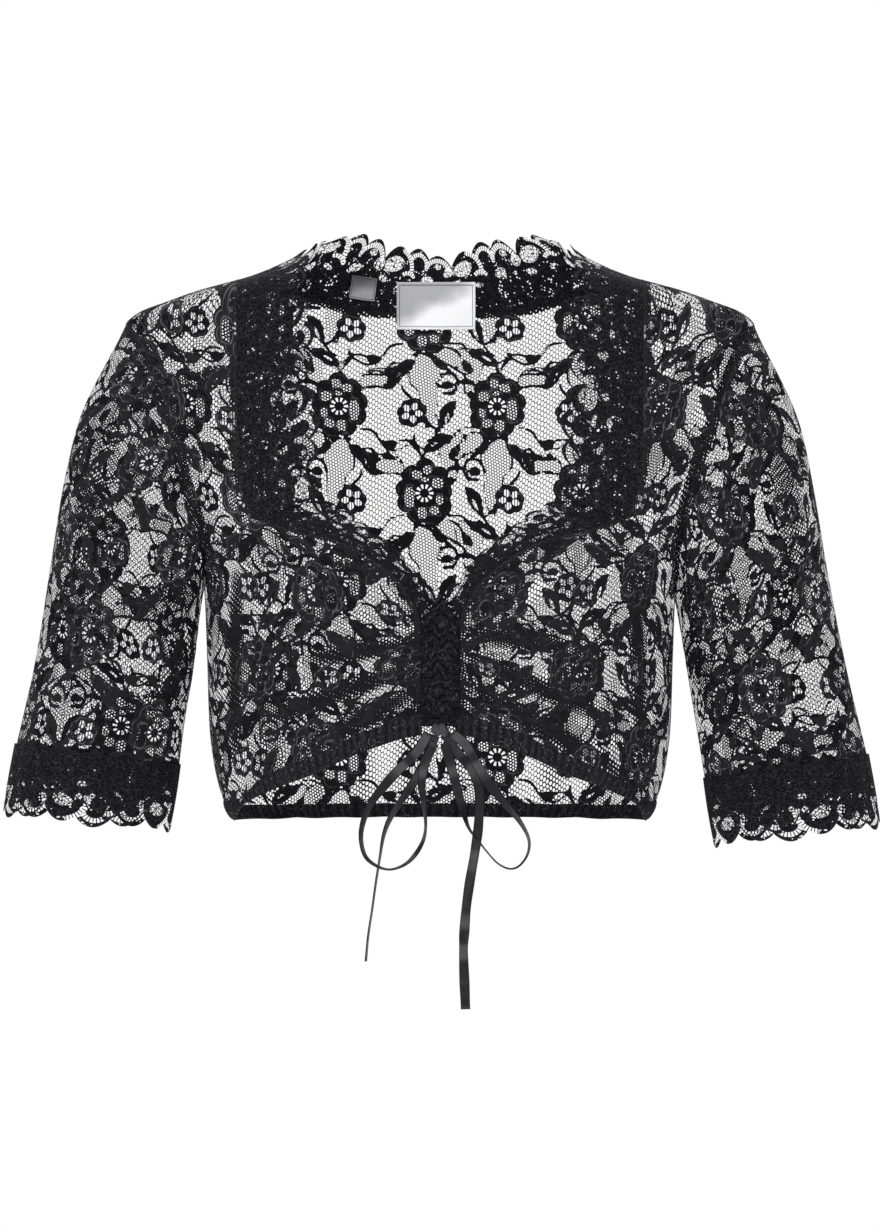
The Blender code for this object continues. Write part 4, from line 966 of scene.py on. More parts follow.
backTurn, backZ = backGrid()
backPoints, backNormals = figure("back", backTurn, backZ, bodice["sink"])
backUv = np.stack(clothMap("back")(backTurn, backZ), axis=-1)
lacePiece("backPanel", backPoints, backNormals,
          flowerAt(backPoints, backUv, *panels["flowerBack"], facing=1.0),
          "firstRow", ["firstColumn", "lastColumn", "firstRow"],
          [0.25 * ridgeSum(foldRows["back"], backPoints[..., 0], backPoints[..., 2])[1]])
print("back made")


def frontPiece(side, word):
    turn, z = frontGrid(side)
    points, normals = figure("front", turn, z, bodice["sink"])
    uv = flowerAt(points, np.stack(clothMap("front")(turn, z), axis=-1), *panels["flower" + word])
    # the cloth is drawn together towards the centre casing
    x, height = points[..., 0], points[..., 2]
    middle = np.abs(height - panels["gatherZ"]) + np.abs(np.abs(x) - 0.06)
    reach = uv[..., 1] - uv[np.unravel_index(np.argmin(middle), turn.shape)][1]
    pull = panels["gatherPull"] * np.exp(-(np.abs(x) - casing["half"]) / panels["gatherReach"])
    uv[..., 1] += pull * reach * np.exp(-(reach / 0.09) ** 2)
    folded = np.clip(1.7 * ridgeSum(foldRows["front"], x, height, 0.75)[1] - 0.45, 0, 1)
    creased = ridgeSum(creaseRows["front"], x, height)[1] * 0.12
    centre = np.exp(-(np.abs(x) - casing["half"]) / 0.006) * (height < -0.19)
    lacePiece("front" + word, points, normals, uv,
              "firstColumn", ["firstColumn", "lastColumn"], [folded, creased, centre])
    return turn, z, points, normals


sleeve = {"rows": 190, "crowding": 1.15, "headShare": 0.55}
# Sleeve rings from the armhole to the cuff.
# Columns: share of the length, outer half width, outer height, inner half width, inner height,
# half depth, middle depth
sleeveLeft = metres((
    (0, 194.7, -36.6, 146.3, -200.3, 47, 4), (0.26, 225.1, -99.2, 149, -218.9, 54, 2),
    (0.44, 234.5, -140.7, 150.5, -232.5, 55, 0), (0.62, 241.5, -185.7, 153, -254.2, 53.5, -2),
    (0.82, 250.5, -243, 157.1, -277.8, 50.5, -4), (1, 262.3, -296.5, 161.2, -309.4, 47.5, -5),
), slice(1, 7))
sleeveRight = metres((
    (0, 195, -38, 146.1, -208, 47, 4), (0.26, 224, -101, 149, -226, 54, 2),
    (0.44, 232.5, -142, 151.5, -242, 55, 0), (0.62, 240, -188, 154.5, -262, 53.5, -2),
    (0.82, 252, -250, 158.5, -286, 50.5, -4), (1, 264.5, -303, 163.6, -317.9, 47.5, -5),
), slice(1, 7))
# Columns: turn round the sleeve in degrees and share of the length where it starts, the same
# where it ends, height, half width
sleeveFolds = metres((
    (150, 0.14, 95, 0.6, 3, 10), (168, 0.3, 120, 0.9, 3, 10), (-150, 0.14, -100, 0.62, 3, 10),
    (-165, 0.34, -118, 0.92, 2.8, 10), (40, 0.16, 55, 0.72, 2.2, 12), (-42, 0.16, -60, 0.7, 2.2, 12),
), slice(4, 6))
sleeveCreases = metres((
    (160, 0.22, 128, 0.5, -1.3, 4), (172, 0.46, 138, 0.78, 1.3, 3.8), (140, 0.4, 104, 0.72, 1, 4),
    (-158, 0.24, -126, 0.52, -1.3, 4), (-172, 0.48, -136, 0.8, 1.3, 3.8), (72, 0.08, 84, 0.34, 1.2, 4.6),
    (-76, 0.08, -86, 0.34, 1.2, 4.6), (18, 0.1, 24, 0.4, -1, 5), (-16, 0.44, -30, 0.9, 1.2, 5),
    (66, 0.6, 74, 0.94, -1.1, 4.6), (112, 0.74, 96, 0.96, 1.2, 4), (-104, 0.7, -92, 0.95, 1.2, 4.2),
), slice(4, 6))


def sleeveRings(side, shares):
    table = sleeveRight if side > 0 else sleeveLeft
    columns = [smoothCurve(table[:, 0], table[:, k])(shares) for k in range(1, 7)]
    outerX, outerZ, innerX, innerZ, halfDepth, middle = columns
    centre = np.stack([side * (outerX + innerX) / 2, middle, (outerZ + innerZ) / 2], axis=-1)
    reach = np.stack([side * (outerX - innerX) / 2, 0 * shares, (outerZ - innerZ) / 2], axis=-1)
    return centre, reach, halfDepth


def sleeveTube(side, share, turn):
    # the plain sleeve at shares of its length and turns round it
    centre, reach, halfDepth = sleeveRings(side, share)
    points = centre + reach * np.cos(turn)[..., None]
    points[..., 1] -= halfDepth * np.sin(turn)
    return points


def sleeveRidges(turn, share):
    # here a degree round the sleeve counts as 1 mm, and the length as 190 mm
    sizes = np.array([0.001, 0.19, 0.001, 0.19])
    roundX, down = np.degrees(turn) * sizes[0], share * sizes[1]
    height = np.zeros(np.broadcast(turn, share).shape)
    crest = np.zeros(height.shape)
    for *ends, high, half in (*sleeveFolds, *sleeveCreases):
        t, away = besideLine(roundX, down, *(ends * sizes))
        bell = np.exp(-away / half**2) * np.sin(math.pi * t) ** 0.5
        height += high * bell
        crest = np.maximum(crest, bell * (high > 0.0014))
    return height, crest


def ringNormals(points):
    # directions out of a tube whose last column repeats its first
    opened = points[:, :-1]
    around = (np.roll(opened, -1, axis=1) - np.roll(opened, 1, axis=1)) / 2
    normals = unit(np.cross(np.gradient(points, axis=0), np.concatenate([around, around[:, :1]], axis=1)))
    middle = len(points) // 2
    spokes = points - opened.mean(axis=1, keepdims=True)
    return normals * np.sign(np.sum(normals[middle] * spokes[middle]))


def sleevePiece(side, word, frontSeam, backSeamPoints):
    loop = np.concatenate([frontSeam, backSeamPoints[::-1][1:]])
    count = len(loop) - 1
    turn = np.linspace(0.0, 2 * math.pi, count + 1)
    # the tube opens at the underarm, where its own seam runs
    order = np.concatenate([np.arange(count // 2, count), np.arange(0, count // 2 + 1)])
    turn, loop = turn[order % count], loop[order]
    shares = np.linspace(0.0, 1.0, sleeve["rows"] + 1) ** sleeve["crowding"]
    turn, share = np.broadcast_arrays(turn[None, :], shares[:, None])
    points = sleeveTube(side, share, turn)
    head = loop[None] - sleeveTube(side, 0 * share, turn)
    points = points + head * (1 - ease(share / sleeve["headShare"]))[..., None]
    normals = ringNormals(points)
    height, crest = sleeveRidges(np.where(turn > math.pi, turn - 2 * math.pi, turn), share)
    height = height * ease(share / 0.2) * ease((1 - share) / 0.12)
    points = points + normals * (height - bodice["sink"] * ease(share / 0.05))[..., None]
    points[:, -1] = points[:, 0]
    u = rowLengths(points, 1)
    u = u - u[:, np.argmin(np.abs(turn[0] - math.pi / 2))][:, None]
    v = rowLengths(points, 0)
    uv = np.stack([u, v[-1:] - v], axis=-1)
    # seen from the front, the cloth's width runs to the viewer's right
    right = points[:, :, 0] - points[:, :, 0].mean(axis=1, keepdims=True)
    front = points[:, :, 1] < 0
    if np.sum(right[front] * u[front]) < 0:
        uv[..., 0] = -u
    uv = flowerAt(points, uv, *panels["sleeveFlower" + word])
    lacePiece("sleeve" + word, points, normals, uv,
              "lastRow", ["firstRow", "firstColumn", "lastColumn"], [crest * 0.30], ring=True)


edging = {
    "lobe": 0.0192, "lobesPerScallop": 3, "depth": 0.0120, "width": 0.045,
    "stepsPerLobe": 24, "rows": 54, "cupLean": 0.010, "ridgeReach": 0.015,
    "cuffScallops": 5, "cuffProud": 0.0008, "cuffMiddleY": -0.0060,
}


def scallop(lobes):
    big = np.abs(np.sin(math.pi * lobes / edging["lobesPerScallop"]))
    small = np.abs(np.sin(math.pi * lobes))
    return 0.55 * big**0.7 + 0.45 * small**0.8


def galloonPiece(name, points, normals, place, v, reach, seamTo, ring=False):
    # the scalloped edging on a grid; it lies double up to seamTo, in millimetres from its seam
    s = place[None, :] * edging["lobe"] * 1000 + 0 * v
    t = v * edging["width"] * 1000
    fields = edgingFields(s, t, (reach[None, :] - v) * edging["width"] * 1000)
    fields["layers"] = 1 - ease((t - seamTo) / 1.5)
    uv = np.stack([s, t], axis=-1) / 1000
    keep(sheetPiece(name, points, normals, uv, fields, finishes["edging"], ring))


def edgingPiece(name, seam, seamLine, freeLine, face, side, lean=0.0, ridges=()):
    lengths = lengthsOf(seam)
    lobes = max(round(lengths[-1] / edging["lobe"]), 2)
    count = lobes * edging["stepsPerLobe"]
    wanted = np.linspace(0.0, lengths[-1], count + 1)
    seamAt, lineAt = readAt(wanted, lengths, seam), readAt(wanted, lengths, seamLine)
    free = along(freeLine, count, face)
    place = np.arange(count + 1) / edging["stepsPerLobe"]
    reach = 1 - edging["depth"] / edging["width"] * (1 - scallop(place))
    across = np.linspace(0.0, 1.0, edging["rows"] + 1)
    v = across[:, None] * reach[None, :]
    seamX, seamZ = lineAt[None, :, 0], lineAt[None, :, 1]
    freeX, freeZ = free[None, :, 0], free[None, :, 1]
    x = seamX * (1 - v) + freeX * v
    z = seamZ * (1 - v) + freeZ * v
    ridge = ridgeLine(-np.abs(seamX)) * (1 - v) + ridgeLine(-np.abs(freeX)) * v
    z = z + (ridgeLine(-np.abs(x)) - ridge) * np.exp(-np.maximum(ridge - z, 0.0) / edging["ridgeReach"])
    turn = turnAt(x, z)
    for columnAt in ridges:
        z[:, columnAt] = ridgeLine(-np.abs(x[:, columnAt]))
        turn[:, columnAt] = np.sign(x[:, columnAt]) * math.pi / 2
    points, normals = figure(face, side * turn, z)
    points[..., 1] += lean * v**1.5 * np.minimum(1.0, np.abs(np.cos(turn)) * 3)
    points += (seamAt - points[0])[None] * (1 - across)[:, None, None]
    # shallow waves that the gathered seam leaves in the band
    wave = np.sin(place * 5.1 + 0.8 * np.sin(place * 1.7))[None, :] * np.sin(math.pi * v) * 0.0006
    points += normals * wave[..., None]
    galloonPiece(name, points, normals, place, v, reach, 3.0)


# Cuff mouths. Columns: outer half width, outer height, inner half width, inner height, half depth
cuffMouthLeft = (0.2700, -0.3415, 0.1680, -0.3515, 0.0480)
cuffMouthRight = (0.2722, -0.3490, 0.1705, -0.3610, 0.0480)


def cuffPiece(side, word):
    mouth = cuffMouthRight if side > 0 else cuffMouthLeft
    centre, reach, halfDepth = sleeveRings(side, np.array(1.0))
    lowCentre = np.array([side * (mouth[0] + mouth[2]) / 2, edging["cuffMiddleY"], (mouth[1] + mouth[3]) / 2])
    lowReach = np.array([side * (mouth[0] - mouth[2]) / 2, 0.0, (mouth[1] - mouth[3]) / 2])
    lobes = edging["cuffScallops"] * edging["lobesPerScallop"]
    count = lobes * edging["stepsPerLobe"]
    turns = np.linspace(0.0, 2 * math.pi, count + 1)
    place = np.arange(count + 1) / edging["stepsPerLobe"] + 0.5
    reachDown = 1 - edging["depth"] / edging["width"] * (1 - scallop(place))
    v = np.linspace(0.0, 1.0, edging["rows"] + 1)[:, None] * reachDown[None, :]
    grow = 1 + edging["cuffProud"] / 0.05
    middle = centre * (1 - v[..., None]) + lowCentre * v[..., None]
    arm = (reach * (1 - v[..., None]) + lowReach * v[..., None]) * grow
    depth = (halfDepth * (1 - v) + mouth[4] * v) * grow
    points = middle + arm * np.cos(turns)[None, :, None]
    points[..., 1] -= depth * np.sin(turns)[None, :]
    points[:, -1] = points[:, 0]
    normals = ringNormals(points)
    wave = (np.sin(turns * 9 + 1.2 * np.sin(turns * 2))[None, :] * np.sin(math.pi * v) * 0.0007
            + np.sin(turns * 23 + 0.7)[None, :] * (1 - v) * 0.0003)
    points += normals * wave[..., None]
    points[:, -1] = points[:, 0]
    galloonPiece("cuff" + word, points, normals, place, v, reachDown, 4.0, ring=True)


def gatherNoise(values, seed):
    # uneven gathers along a casing, always the same ones
    draw = np.random.default_rng(seed)
    phases = draw.uniform(0, 2 * math.pi, 5)
    total = sum(np.sin(values * (k + 1) * 0.61 + phases[k]) / (k + 1.5) for k in range(5))
    return total / 1.6


hems = {
    # Columns: rows, length of a gather, its relief, height of the roll
    "front": (15, 0.0052, 0.0004, 0.0011), "back": (13, 0.0056, 0.0005, 0.0008),
    "thick": 0.0009, "fullness": 1.8,
}


def hemPiece(name, points, normals, v, gathers, relief, roll):
    # a turned hem, gathered on the drawstring or elastic in it
    s = rowLengths(points, 1)
    gather = gathers(s[:1] + 0 * v)
    points = points + normals * (relief * gather * np.sin(math.pi * v) ** 0.4 + roll)[..., None]
    uv = np.stack([s * hems["fullness"], rowLengths(points, 0)], axis=-1)
    # crest marks where the gathers stand out; the casing finish paints these lighter and the hollows darker,
    # as painted highlight and shade
    fields = {"crest": np.clip(0.5 + 0.5 * gather, 0, 1)}
    piece = shellPiece(name, points, normals, hems["thick"], uv, fields, finishes["casing"])
    keep(piece)


def frontHemPiece(side, word, seamTurn, seamZ):
    rows, gatherLength, relief, roll = hems["front"]
    x = np.abs(halfWidth(seamZ) * signedPower(np.sin(seamTurn)))
    blend = ease(x / 0.05)
    lowX = x * (1 - blend) + x * frontHem[-1, 0] / x[-1] * blend
    lowZ = hemLine(np.minimum(lowX, frontHem[-1, 0]))
    v = np.linspace(0.0, 1.0, rows)[:, None]
    z = seamZ[None] * (1 - v) + lowZ[None] * v
    turn = np.abs(seamTurn)[None] + 0 * v
    turn[:, 0] = turnAt(np.full(len(v), casing["half"]), z[:, 0])
    points, normals = figure("front", side * turn, z)
    # its ends round off into the back hem
    fade = bodice["hemFade"]
    above = points[..., 2] - bodice["backHemZ"] - fade
    points[..., 2] += np.where(above < 0, fade * np.exp(np.minimum(above, 0) / fade) - fade - above, 0)

    def gathers(s):
        wave = np.sin(s * 2 * math.pi / gatherLength + 2.2 * gatherNoise(s * 160, 3 if side > 0 else 4) + v)
        return wave * (0.6 + 0.4 * gatherNoise(s * 90 + v * 3, 5))

    hemPiece("frontHemBand" + word, points, normals, v, gathers, relief, roll * np.sin(math.pi * v) ** 0.6)


def backHemPiece():
    rows, gatherLength, relief, roll = hems["back"]
    v = np.linspace(0.0, 1.0, rows)[:, None]
    points, normals = figure("back", backTurn[-1][None] + 0 * v,
                             backZ[-1][None] * (1 - v) + bodice["backHemZ"] * v)

    def gathers(s):
        return 0.7 * np.sin(s * 2 * math.pi / gatherLength + 2.4 * gatherNoise(s * 150, 7) + 0.6 * v)

    hemPiece("backHemBand", points, normals, v, gathers, relief, roll * np.sin(math.pi * v))


casing = {
    "half": 0.0110, "topZ": -0.2045, "shoulderZ": -0.2245, "bottomZ": -0.2845,
    "gathers": 13, "relief": 0.0020, "rows": 230, "columns": 48, "thick": 0.0006,
    "over": 0.0016, "proud": 0.0003,       # it laps over the pieces beside it and stands out of them
}


def casingPiece():
    half = casing["half"] + casing["over"] / 2
    x = np.linspace(-half, half, casing["columns"] + 1)[None, :]
    top = casing["topZ"] + casing["over"] - np.abs(x) * (casing["topZ"] - casing["shoulderZ"]) / half
    t = np.linspace(0.0, 1.0, casing["rows"] + 1)[:, None]
    z = top * (1 - t) + casing["bottomZ"] * t
    points, normals = figure("front", turnAt(x, z), z)
    down = (casing["topZ"] - z) / (casing["topZ"] - casing["bottomZ"]) * casing["gathers"]
    slide = 0.30 * np.sin(430 * x + 1.1 * down) + 0.22 * np.sin(-690 * x + 0.7 * down + 2.0)
    slide += 0.35 * gatherNoise(down * 2.1 + x * 260, 11)
    wave = 0.5 - 0.5 * np.cos(2 * math.pi * (down + slide))
    wave *= 0.72 + 0.28 * np.sin(2.3 * down + 380 * x)
    finer = 0.5 - 0.5 * np.cos(2 * math.pi * (2.4 * down + 1.7 * slide + x * 60))
    cross = np.cos(x / half * math.pi / 2)
    channel = 1 - 0.45 * np.exp(-((np.abs(x) - 0.45 * half) / (0.12 * half)) ** 2)
    swell = casing["relief"] * (wave * 0.85 + finer * 0.30) * (0.35 + 0.65 * cross) * channel
    points += normals * (swell + casing["proud"])[..., None]
    uv = np.stack([x + 0 * t, 2.4 * rowLengths(points, 0)], axis=-1)
    # crest marks the gather ridges, more towards the casing's middle; the casing finish paints them lighter
    # and the hollows darker, as painted highlight and shade
    fields = {"crest": np.clip(wave * 0.75 + finer * 0.35 - 0.1, 0, 1) * (0.4 + 0.6 * cross)}
    piece = shellPiece("centreCasing", points, normals, casing["thick"], uv, fields, finishes["casing"])
    keep(piece)


frontSeams = []
for side, word in ((-1, "Left"), (1, "Right")):
    turn, z, points, normals = frontPiece(side, word)
    frontSeams.append((word, points, normals))
    rows = armholeRows()
    backColumn = -1 if side > 0 else 0
    sleevePiece(side, word, points[rows, -1], backPoints[rows, backColumn])
    cuffPiece(side, word)
    frontHemPiece(side, word, turn[-1], z[-1])
    step = bodice["step"]
    strap = slice(0, bodice["strapRows"] * step + 1)
    cup = slice(bodice["strapRows"] * step, (bodice["strapRows"] + bodice["cupRows"]) * step + 1)
    strapLine = along(strapSeam, bodice["strapRows"] * step, "front", bodice["strapCrowding"])
    cupLine = along(cupSeam, bodice["cupRows"] * step, "front")
    edgingPiece("strapBand" + word, points[strap, 0], strapLine, strapFree, "front", side, ridges=(0,))
    edgingPiece("necklineBand" + word, points[cup, 0], cupLine, cupFree, "front", side, edging["cupLean"])
seamLine = along(backSeam, bodice["backColumns"] * bodice["backStep"] // 2, "back")
seamLine = np.concatenate([seamLine * (-1, 1), seamLine[::-1][1:]])
freeLine = np.concatenate([backFree * (-1, 1), backFree[::-1][1:]])
edgingPiece("neckBandBack", backPoints[0], seamLine, freeLine, "back", 1, ridges=(0, -1))
backHemPiece()
casingPiece()
print("cloth made")


# Ribbons and labels

ribbon = {
    "width": 0.0060, "thick": 0.0004, "bow": (0.0, -0.1012, -0.2868),
    "knot": (0.0112, 0.0080, 0.0086), "widthSteps": 8, "stepLength": 0.0012,
}
# Ribbon routes seen from the front. Columns: x, depth in front of the bow's middle, z, turn of
# the ribbon in degrees (0 shows its edge, 90 its face)
loopLeft = metres((
    (-7, 0.5, -288.5, 80), (-13.6, 1, -299.5, 85), (-27.3, 1.5, -313.1, 80), (-38.8, 1.5, -326.7, 55),
    (-44.6, 1.5, -336.4, 35), (-47.9, 1.5, -350, 25), (-45.6, 1, -362.5, 20), (-38.5, 0.5, -369, 12),
    (-30, 0, -371.2, 8), (-21, 0, -368, 15), (-14.5, 0, -361.5, 22), (-10, 0, -353, 18),
    (-8.7, 0, -343.5, 15), (-10, 0, -330, 30), (-11.2, 0, -318.7, 55), (-8.7, 0, -305.3, 75),
    (-3.6, 0, -294.5, 80),
), slice(3))
loopRight = metres((
    (7, 0.5, -288.5, -80), (15.5, 1, -295.7, -85), (23.3, 1.5, -309.2, -85), (31, 1.5, -320.9, -75),
    (38.8, 1.5, -330.5, -50), (48.4, 1.5, -342.2, -25), (53.8, 1, -353, -15), (53, 1, -362, -10),
    (48, 0.5, -369, -6), (42, 0, -370.8, -5), (35, 0, -367.5, -5), (28.5, 0, -360.5, -6),
    (23.2, 0, -353.7, -8), (17.4, 0, -345.9, -15), (13.6, 0, -334.2, -40), (10.5, 0, -322.8, -65),
    (5.8, 0, -305.3, -80), (3, 0, -294.5, -80),
), slice(3))
tailLeft = metres((
    (-3.4, -3.8, -289.6, 90), (-5.2, -5.8, -296, 88), (-9.5, -7, -307, 75), (-19, -8, -323, 50),
    (-29, -8, -338, 35), (-34, -7.5, -350, 20), (-36.6, -7, -365, 12), (-39, -6.5, -380, 10),
    (-41.2, -6, -396, 10), (-43.6, -6, -412, 10), (-45, -6, -427.2, 12),
), slice(3))
tailRight = metres((
    (3.6, -3.8, -289.6, -90), (7.2, -6, -296, -88), (13.2, -7.4, -303.5, -84), (20, -8.5, -312, -80),
    (23.8, -8.5, -324, -75), (23.4, -8, -344, -70), (21.1, -7.5, -361.5, -70), (18.4, -7, -377, -70),
    (16, -6.5, -394, -75), (14.8, -6, -409, -80), (14.3, -6, -418, -60), (14.5, -6, -430, -75),
    (15.5, -6, -456.3, -80),
), slice(3))


def smoothRoute(table, count):
    # a smooth curve through the rows of a route, at even steps of its length
    route = np.asarray(table, float)
    bowY = ribbon["bow"][1]
    line = route[:, :3].copy()
    line[:, 1] = bowY - route[:, 1]
    lengths = lengthsOf(line)
    padded = np.concatenate([[2 * route[0] - route[1]], route, [2 * route[-1] - route[-2]]])
    wanted = np.linspace(0.0, lengths[-1], count + 1)
    spans = np.clip(np.searchsorted(lengths, wanted, side="right") - 1, 0, len(lengths) - 2)
    t = ((wanted - lengths[spans]) / np.diff(lengths)[spans])[:, None]
    a, b, c, d = (padded[spans + k] for k in range(4))
    smooth = 0.5 * (2 * b + (c - a) * t + (2 * a - 5 * b + 4 * c - d) * t**2 + (3 * b - a - 3 * c + d) * t**3)
    points = smooth[:, :3].copy()
    points[:, 1] = bowY - smooth[:, 1]
    return points, np.radians(smooth[:, 3])


def ribbonPiece(name, table):
    rough = lengthsOf(smoothRoute(table, 200)[0])[-1]
    points, twist = smoothRoute(table, int(rough / ribbon["stepLength"]))
    tangent = unit(np.gradient(points, axis=0))
    depth = np.array([0.0, 1.0, 0.0])
    flat = unit(np.cross(tangent, depth))
    wide = unit(np.cos(twist)[:, None] * depth + np.sin(twist)[:, None] * flat)
    wide = unit(wide - tangent * np.sum(wide * tangent, axis=1, keepdims=True))
    thin = unit(np.cross(tangent, wide))
    lengths = lengthsOf(points)
    share = np.linspace(-1.0, 1.0, ribbon["widthSteps"] + 1)
    # the ribbon cups a little and its edges wander
    cup = 0.00035 * (1 - share[None, :] ** 2) * np.sin(lengths * 95 + 1.0)[:, None]
    sway = 1 + 0.04 * np.sin(lengths * 210)[:, None]
    grid = points[:, None] + wide[:, None] * (share[None, :] * sway * ribbon["width"] / 2)[..., None]
    grid = grid + thin[:, None] * (cup + ribbon["thick"] / 2)[..., None]
    normals = np.broadcast_to(thin[:, None], grid.shape)
    uv = np.stack(np.broadcast_arrays(share[None, :] * ribbon["width"] / 2, lengths[:, None]), axis=-1)
    piece = shellPiece(name, grid, normals, ribbon["thick"], uv, {}, finishes["satin"])
    keep(piece)
    print(name, "is", round(float(lengths[-1]), 4), "m long")


def knotPiece():
    # the ribbon goes round the knot in three soft turns
    rings, spokes = 40, 56
    sizeX, sizeY, sizeZ = ribbon["knot"]
    bow = ribbon["bow"]
    polar = np.linspace(0.04, math.pi - 0.04, rings)[:, None]
    turn = np.linspace(0, 2 * math.pi, spokes + 1)[None, :]
    x = -np.cos(polar) + 0 * turn
    folds = 1 + 0.19 * np.cos(polar * 6 + 1.1 * np.sin(turn + 0.5)) + 0.06 * np.sin(turn * 3 + polar * 2)
    waist = 0.80 + 0.20 * np.sin(polar) ** 0.5
    radial = np.sin(polar) ** 0.75 * folds * waist * 0.92
    points = np.stack([bow[0] + x * sizeX / 2, bow[1] + radial * np.cos(turn) * sizeY / 2,
                       bow[2] + radial * np.sin(turn) * sizeZ / 2 + 0.0004 * np.sin(polar * 2)], axis=-1)
    points[:, -1] = points[:, 0]
    normals = unit(points - np.array(bow))
    uv = np.stack([(polar / math.pi - 0.5) * 0.005 + 0 * turn, turn * 0.004 + 0 * polar], axis=-1)
    piece = sheetPiece("ribbonKnot", points, normals, uv, {}, finishes["satin"], ring=True)
    for first in (0, rings - 1):      # the two ends are closed with a fan each
        edge = list(range(first * spokes, first * spokes + spokes))
        addFan(piece, edge if first else edge[::-1])
    keep(piece)
    return piece


def addFan(piece, edge):
    net = bmesh.new()
    net.from_mesh(piece.data)
    net.verts.ensure_lookup_table()
    net.faces.new([net.verts[i] for i in edge])
    bmesh.ops.recalc_face_normals(net, faces=net.faces)
    for face in net.faces:
        face.smooth = True
    net.to_mesh(piece.data)
    net.free()


def labelPiece(name, place, finish, curl):
    middleX, middleZ, width, height, tilt = place
    u = np.linspace(-0.5, 0.5, 61)[None, :] * width
    v = np.linspace(0.5, -0.5, 37)[:, None] * height
    turn = math.radians(tilt)
    x = middleX + u * math.cos(turn) - v * math.sin(turn)
    z = middleZ + u * math.sin(turn) + v * math.cos(turn)
    points, normals = figure("back", turnAt(x, z), z)
    low = (0.5 - v / height) ** 2
    lift = labels["wall"] + labels["clear"] + curl * low * (0.7 + 0.3 * np.cos(u / width * 5))
    lift = lift + 0.00015 * np.sin(u / width * 9 + 1) * low
    points = points - normals * lift[..., None]
    uv = np.stack(np.broadcast_arrays(u, v), axis=-1)
    labelSeams.append((points[2, 3:-3], -normals[2, 3:-3]))
    piece = shellPiece(name, points, -normals, labels["thick"], uv, {}, finish)
    keep(piece)


labelSeams = []
knot = knotPiece()
ribbonPiece("ribbonLoopLeft", loopLeft)
ribbonPiece("ribbonLoopRight", loopRight)
ribbonPiece("ribbonTailLeft", tailLeft)
ribbonPiece("ribbonTailRight", tailRight)
labelPiece("labelMain", labels["main"], finishes["label"], 0.0006)
labelPiece("labelSize", labels["size"], finishes["sizeLabel"], 0.0005)
print("ribbons and labels made")


# Sewing: zigzag stitches along the seams

stitches = {"pitch": 0.0026, "length": 0.0030, "radius": 0.00011, "slant": 36.0, "lift": 0.00012,
            "labelPitch": 0.0042}


def stitchGroup():
    group = bpy.data.node_groups.new("stitchRow", "GeometryNodeTree")
    for name, way, kind in (("Geometry", "INPUT", "Geometry"), ("Stitch Length", "INPUT", "Float"),
                            ("Thread Radius", "INPUT", "Float"), ("Geometry", "OUTPUT", "Geometry")):
        group.interface.new_socket(name, in_out=way, socket_type="NodeSocket" + kind)

    def add(kind, sockets, **settings):
        node = group.nodes.new(kind)
        for word, value in settings.items():
            setattr(node, word, value)
        for word, value in sockets.items():
            if isinstance(value, bpy.types.NodeSocket):
                group.links.new(value, node.inputs[word])
            else:
                node.inputs[word].default_value = value
        return node.outputs[0]

    start = group.nodes.new("NodeGroupInput").outputs
    halved = add("ShaderNodeMath", {0: start["Stitch Length"], 1: 0.5}, operation="MULTIPLY")
    high = add("ShaderNodeCombineXYZ", {"X": halved})
    low = add("ShaderNodeVectorMath", {0: high, "Scale": -1.0}, operation="SCALE")
    line = add("GeometryNodeCurvePrimitiveLine", {"Start": low, "End": high})
    ring = add("GeometryNodeCurvePrimitiveCircle", {"Resolution": 5, "Radius": start["Thread Radius"]})
    tube = add("GeometryNodeCurveToMesh", {"Curve": line, "Profile Curve": ring, "Fill Caps": True})
    turn = add("GeometryNodeInputNamedAttribute", {"Name": "turn"}, data_type="FLOAT_VECTOR")
    spread = add("GeometryNodeInstanceOnPoints",
                 {"Points": start["Geometry"], "Instance": tube, "Rotation": turn})
    real = add("GeometryNodeRealizeInstances", {0: spread})
    painted = add("GeometryNodeSetMaterial", {"Geometry": real, "Material": finishes["thread"]})
    group.links.new(painted, group.nodes.new("NodeGroupOutput").inputs[0])
    return group


stitchNodes = stitchGroup()


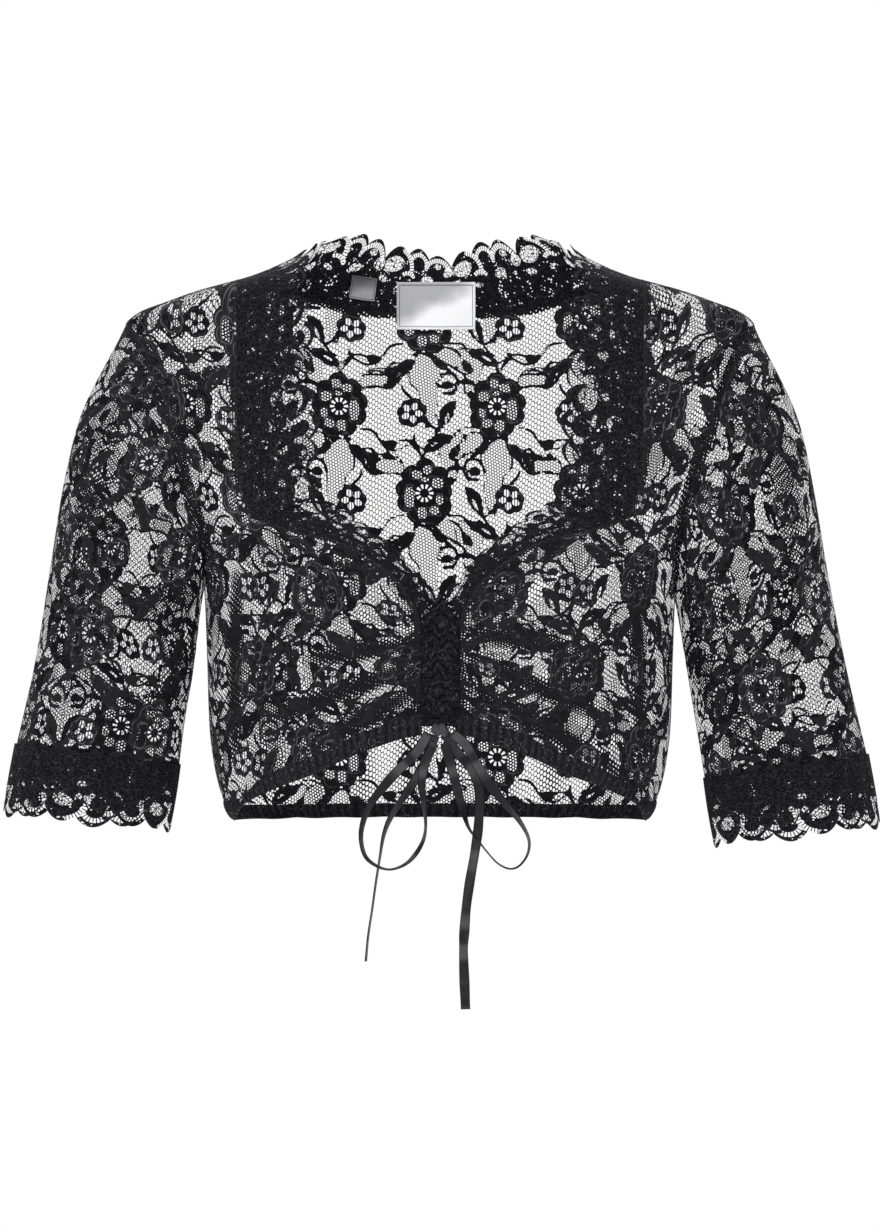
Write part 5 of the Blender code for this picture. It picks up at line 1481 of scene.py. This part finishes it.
def stitchPiece(name, lines, slant=stitches["slant"], pitch=stitches["pitch"]):
    # lines: pairs of seam points and normals
    slant = math.radians(slant)
    spots, turns = [], []
    for points, normals in lines:
        lengths = lengthsOf(points)
        wanted = np.arange(pitch / 2, lengths[-1], pitch)
        at, out = readAt(wanted, lengths, points), unit(readAt(wanted, lengths, normals))
        forward = unit(np.gradient(at, axis=0))
        side = unit(np.cross(out, forward))
        for i, (spot, f, s, n) in enumerate(zip(at, forward, side, out)):
            a = slant if i % 2 else -slant
            x = Vector(f * math.cos(a) + s * math.sin(a))
            z = Vector(n)
            y = z.cross(x).normalized()
            x = y.cross(z).normalized()
            turns.append(Matrix((x, y, z)).transposed().to_euler()[:])
            spots.append(spot + n * stitches["lift"])
    cloud = bpy.data.meshes.new(name)
    cloud.from_pydata([tuple(spot) for spot in spots], [], [])
    attribute = cloud.attributes.new("turn", "FLOAT_VECTOR", "POINT")
    attribute.data.foreach_set("vector", np.array(turns, np.float32).ravel())
    piece = shown(name, cloud)
    rows = piece.modifiers.new("stitchRow", "NODES")
    rows.node_group = stitchNodes
    sockets = {item.name: item.identifier for item in stitchNodes.interface.items_tree
               if item.in_out == "INPUT"}
    rows[sockets["Stitch Length"]] = stitches["length"]
    rows[sockets["Thread Radius"]] = stitches["radius"]
    bpy.context.view_layer.update()
    done = bpy.data.meshes.new_from_object(piece.evaluated_get(bpy.context.evaluated_depsgraph_get()))
    piece.modifiers.remove(rows)
    piece.data = done
    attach(piece, "root")
    return piece


# the stitches on each node's piece
sewing = {"back_panel": stitchPiece("backSewing", [
    (backPoints[0], backNormals[0]), (backPoints[-1], backNormals[-1]),
    (backPoints[2:, 2], backNormals[2:, 2]), (backPoints[2:, -3], backNormals[2:, -3])])}
for word, points, normals in frontSeams:
    seams = ((slice(-2, -1), slice(6, -6)), (slice(6, -60), slice(1, 2)), (slice(4, -4), slice(-3, -2)))
    sewing["front_" + word.lower()] = stitchPiece(
        "frontSewing" + word, [(points[seam].reshape(-1, 3), normals[seam].reshape(-1, 3)) for seam in seams])
sewing["label_main"] = stitchPiece("labelSewing", labelSeams, 0.0, stitches["labelPitch"])
print("sewing made")
# Stage: pale floor, soft light, level camera

stage = {
    "cameraY": -4.5, "cameraZ": -0.2176, "frameTall": 0.7638, "sensor": 36.0,
    "floorZ": -0.95, "floorRadius": 3.0, "worldStrength": 1.0,
    # Columns: name, place, aimed at, size, watts
    "lights": (
        ("keyLight", (-1.6, -2.2, 1.5), (0, 0, -0.2), 0.9, 60.0),
        ("fillLight", (2.0, -2.0, 0.4), (0, 0, -0.2), 1.4, 16.0),
        ("topLight", (0.2, 1.4, 1.8), (0, 0, -0.1), 1.2, 40.0),
    ),
}


def buildStage():
    scene = bpy.context.scene
    scene.view_settings.view_transform = "Standard"
    world = bpy.data.worlds.new("studio")
    world.use_nodes = True
    background = world.node_tree.nodes["Background"]
    background.inputs["Color"].default_value = (1.0, 1.0, 1.0, 1.0)
    background.inputs["Strength"].default_value = stage["worldStrength"]
    scene.world = world
    bpy.ops.mesh.primitive_circle_add(vertices=96, radius=stage["floorRadius"], fill_type="NGON",
                                      location=(0, 0, stage["floorZ"]))
    floor = bpy.context.object
    floor.name = "floor"
    board = Board("paleFloor", 0.9, 0.1)
    board.finish(Base_Color=(0.93, 0.93, 0.93, 1.0))
    floor.data.materials.append(board.material)
    for name, place, aim, size, watts in stage["lights"]:
        lamp = bpy.data.lights.new(name, "AREA")
        lamp.size = size
        lamp.energy = watts
        holder = bpy.data.objects.new(name, lamp)
        scene.collection.objects.link(holder)
        holder.location = place
        direction = [a - b for a, b in zip(aim, place)]
        holder.rotation_euler = Vector(direction).to_track_quat("-Z", "Y").to_euler()
    camera = bpy.data.cameras.new("camera")
    camera.sensor_width = stage["sensor"]
    camera.lens = stage["sensor"] * -stage["cameraY"] / stage["frameTall"]
    holder = bpy.data.objects.new("camera", camera)
    scene.collection.objects.link(holder)
    holder.location = (0.0, stage["cameraY"], stage["cameraZ"])
    holder.rotation_euler = (math.pi / 2, 0.0, 0.0)
    scene.camera = holder


buildStage()
bpy.context.view_layer.update()
print("stage made")
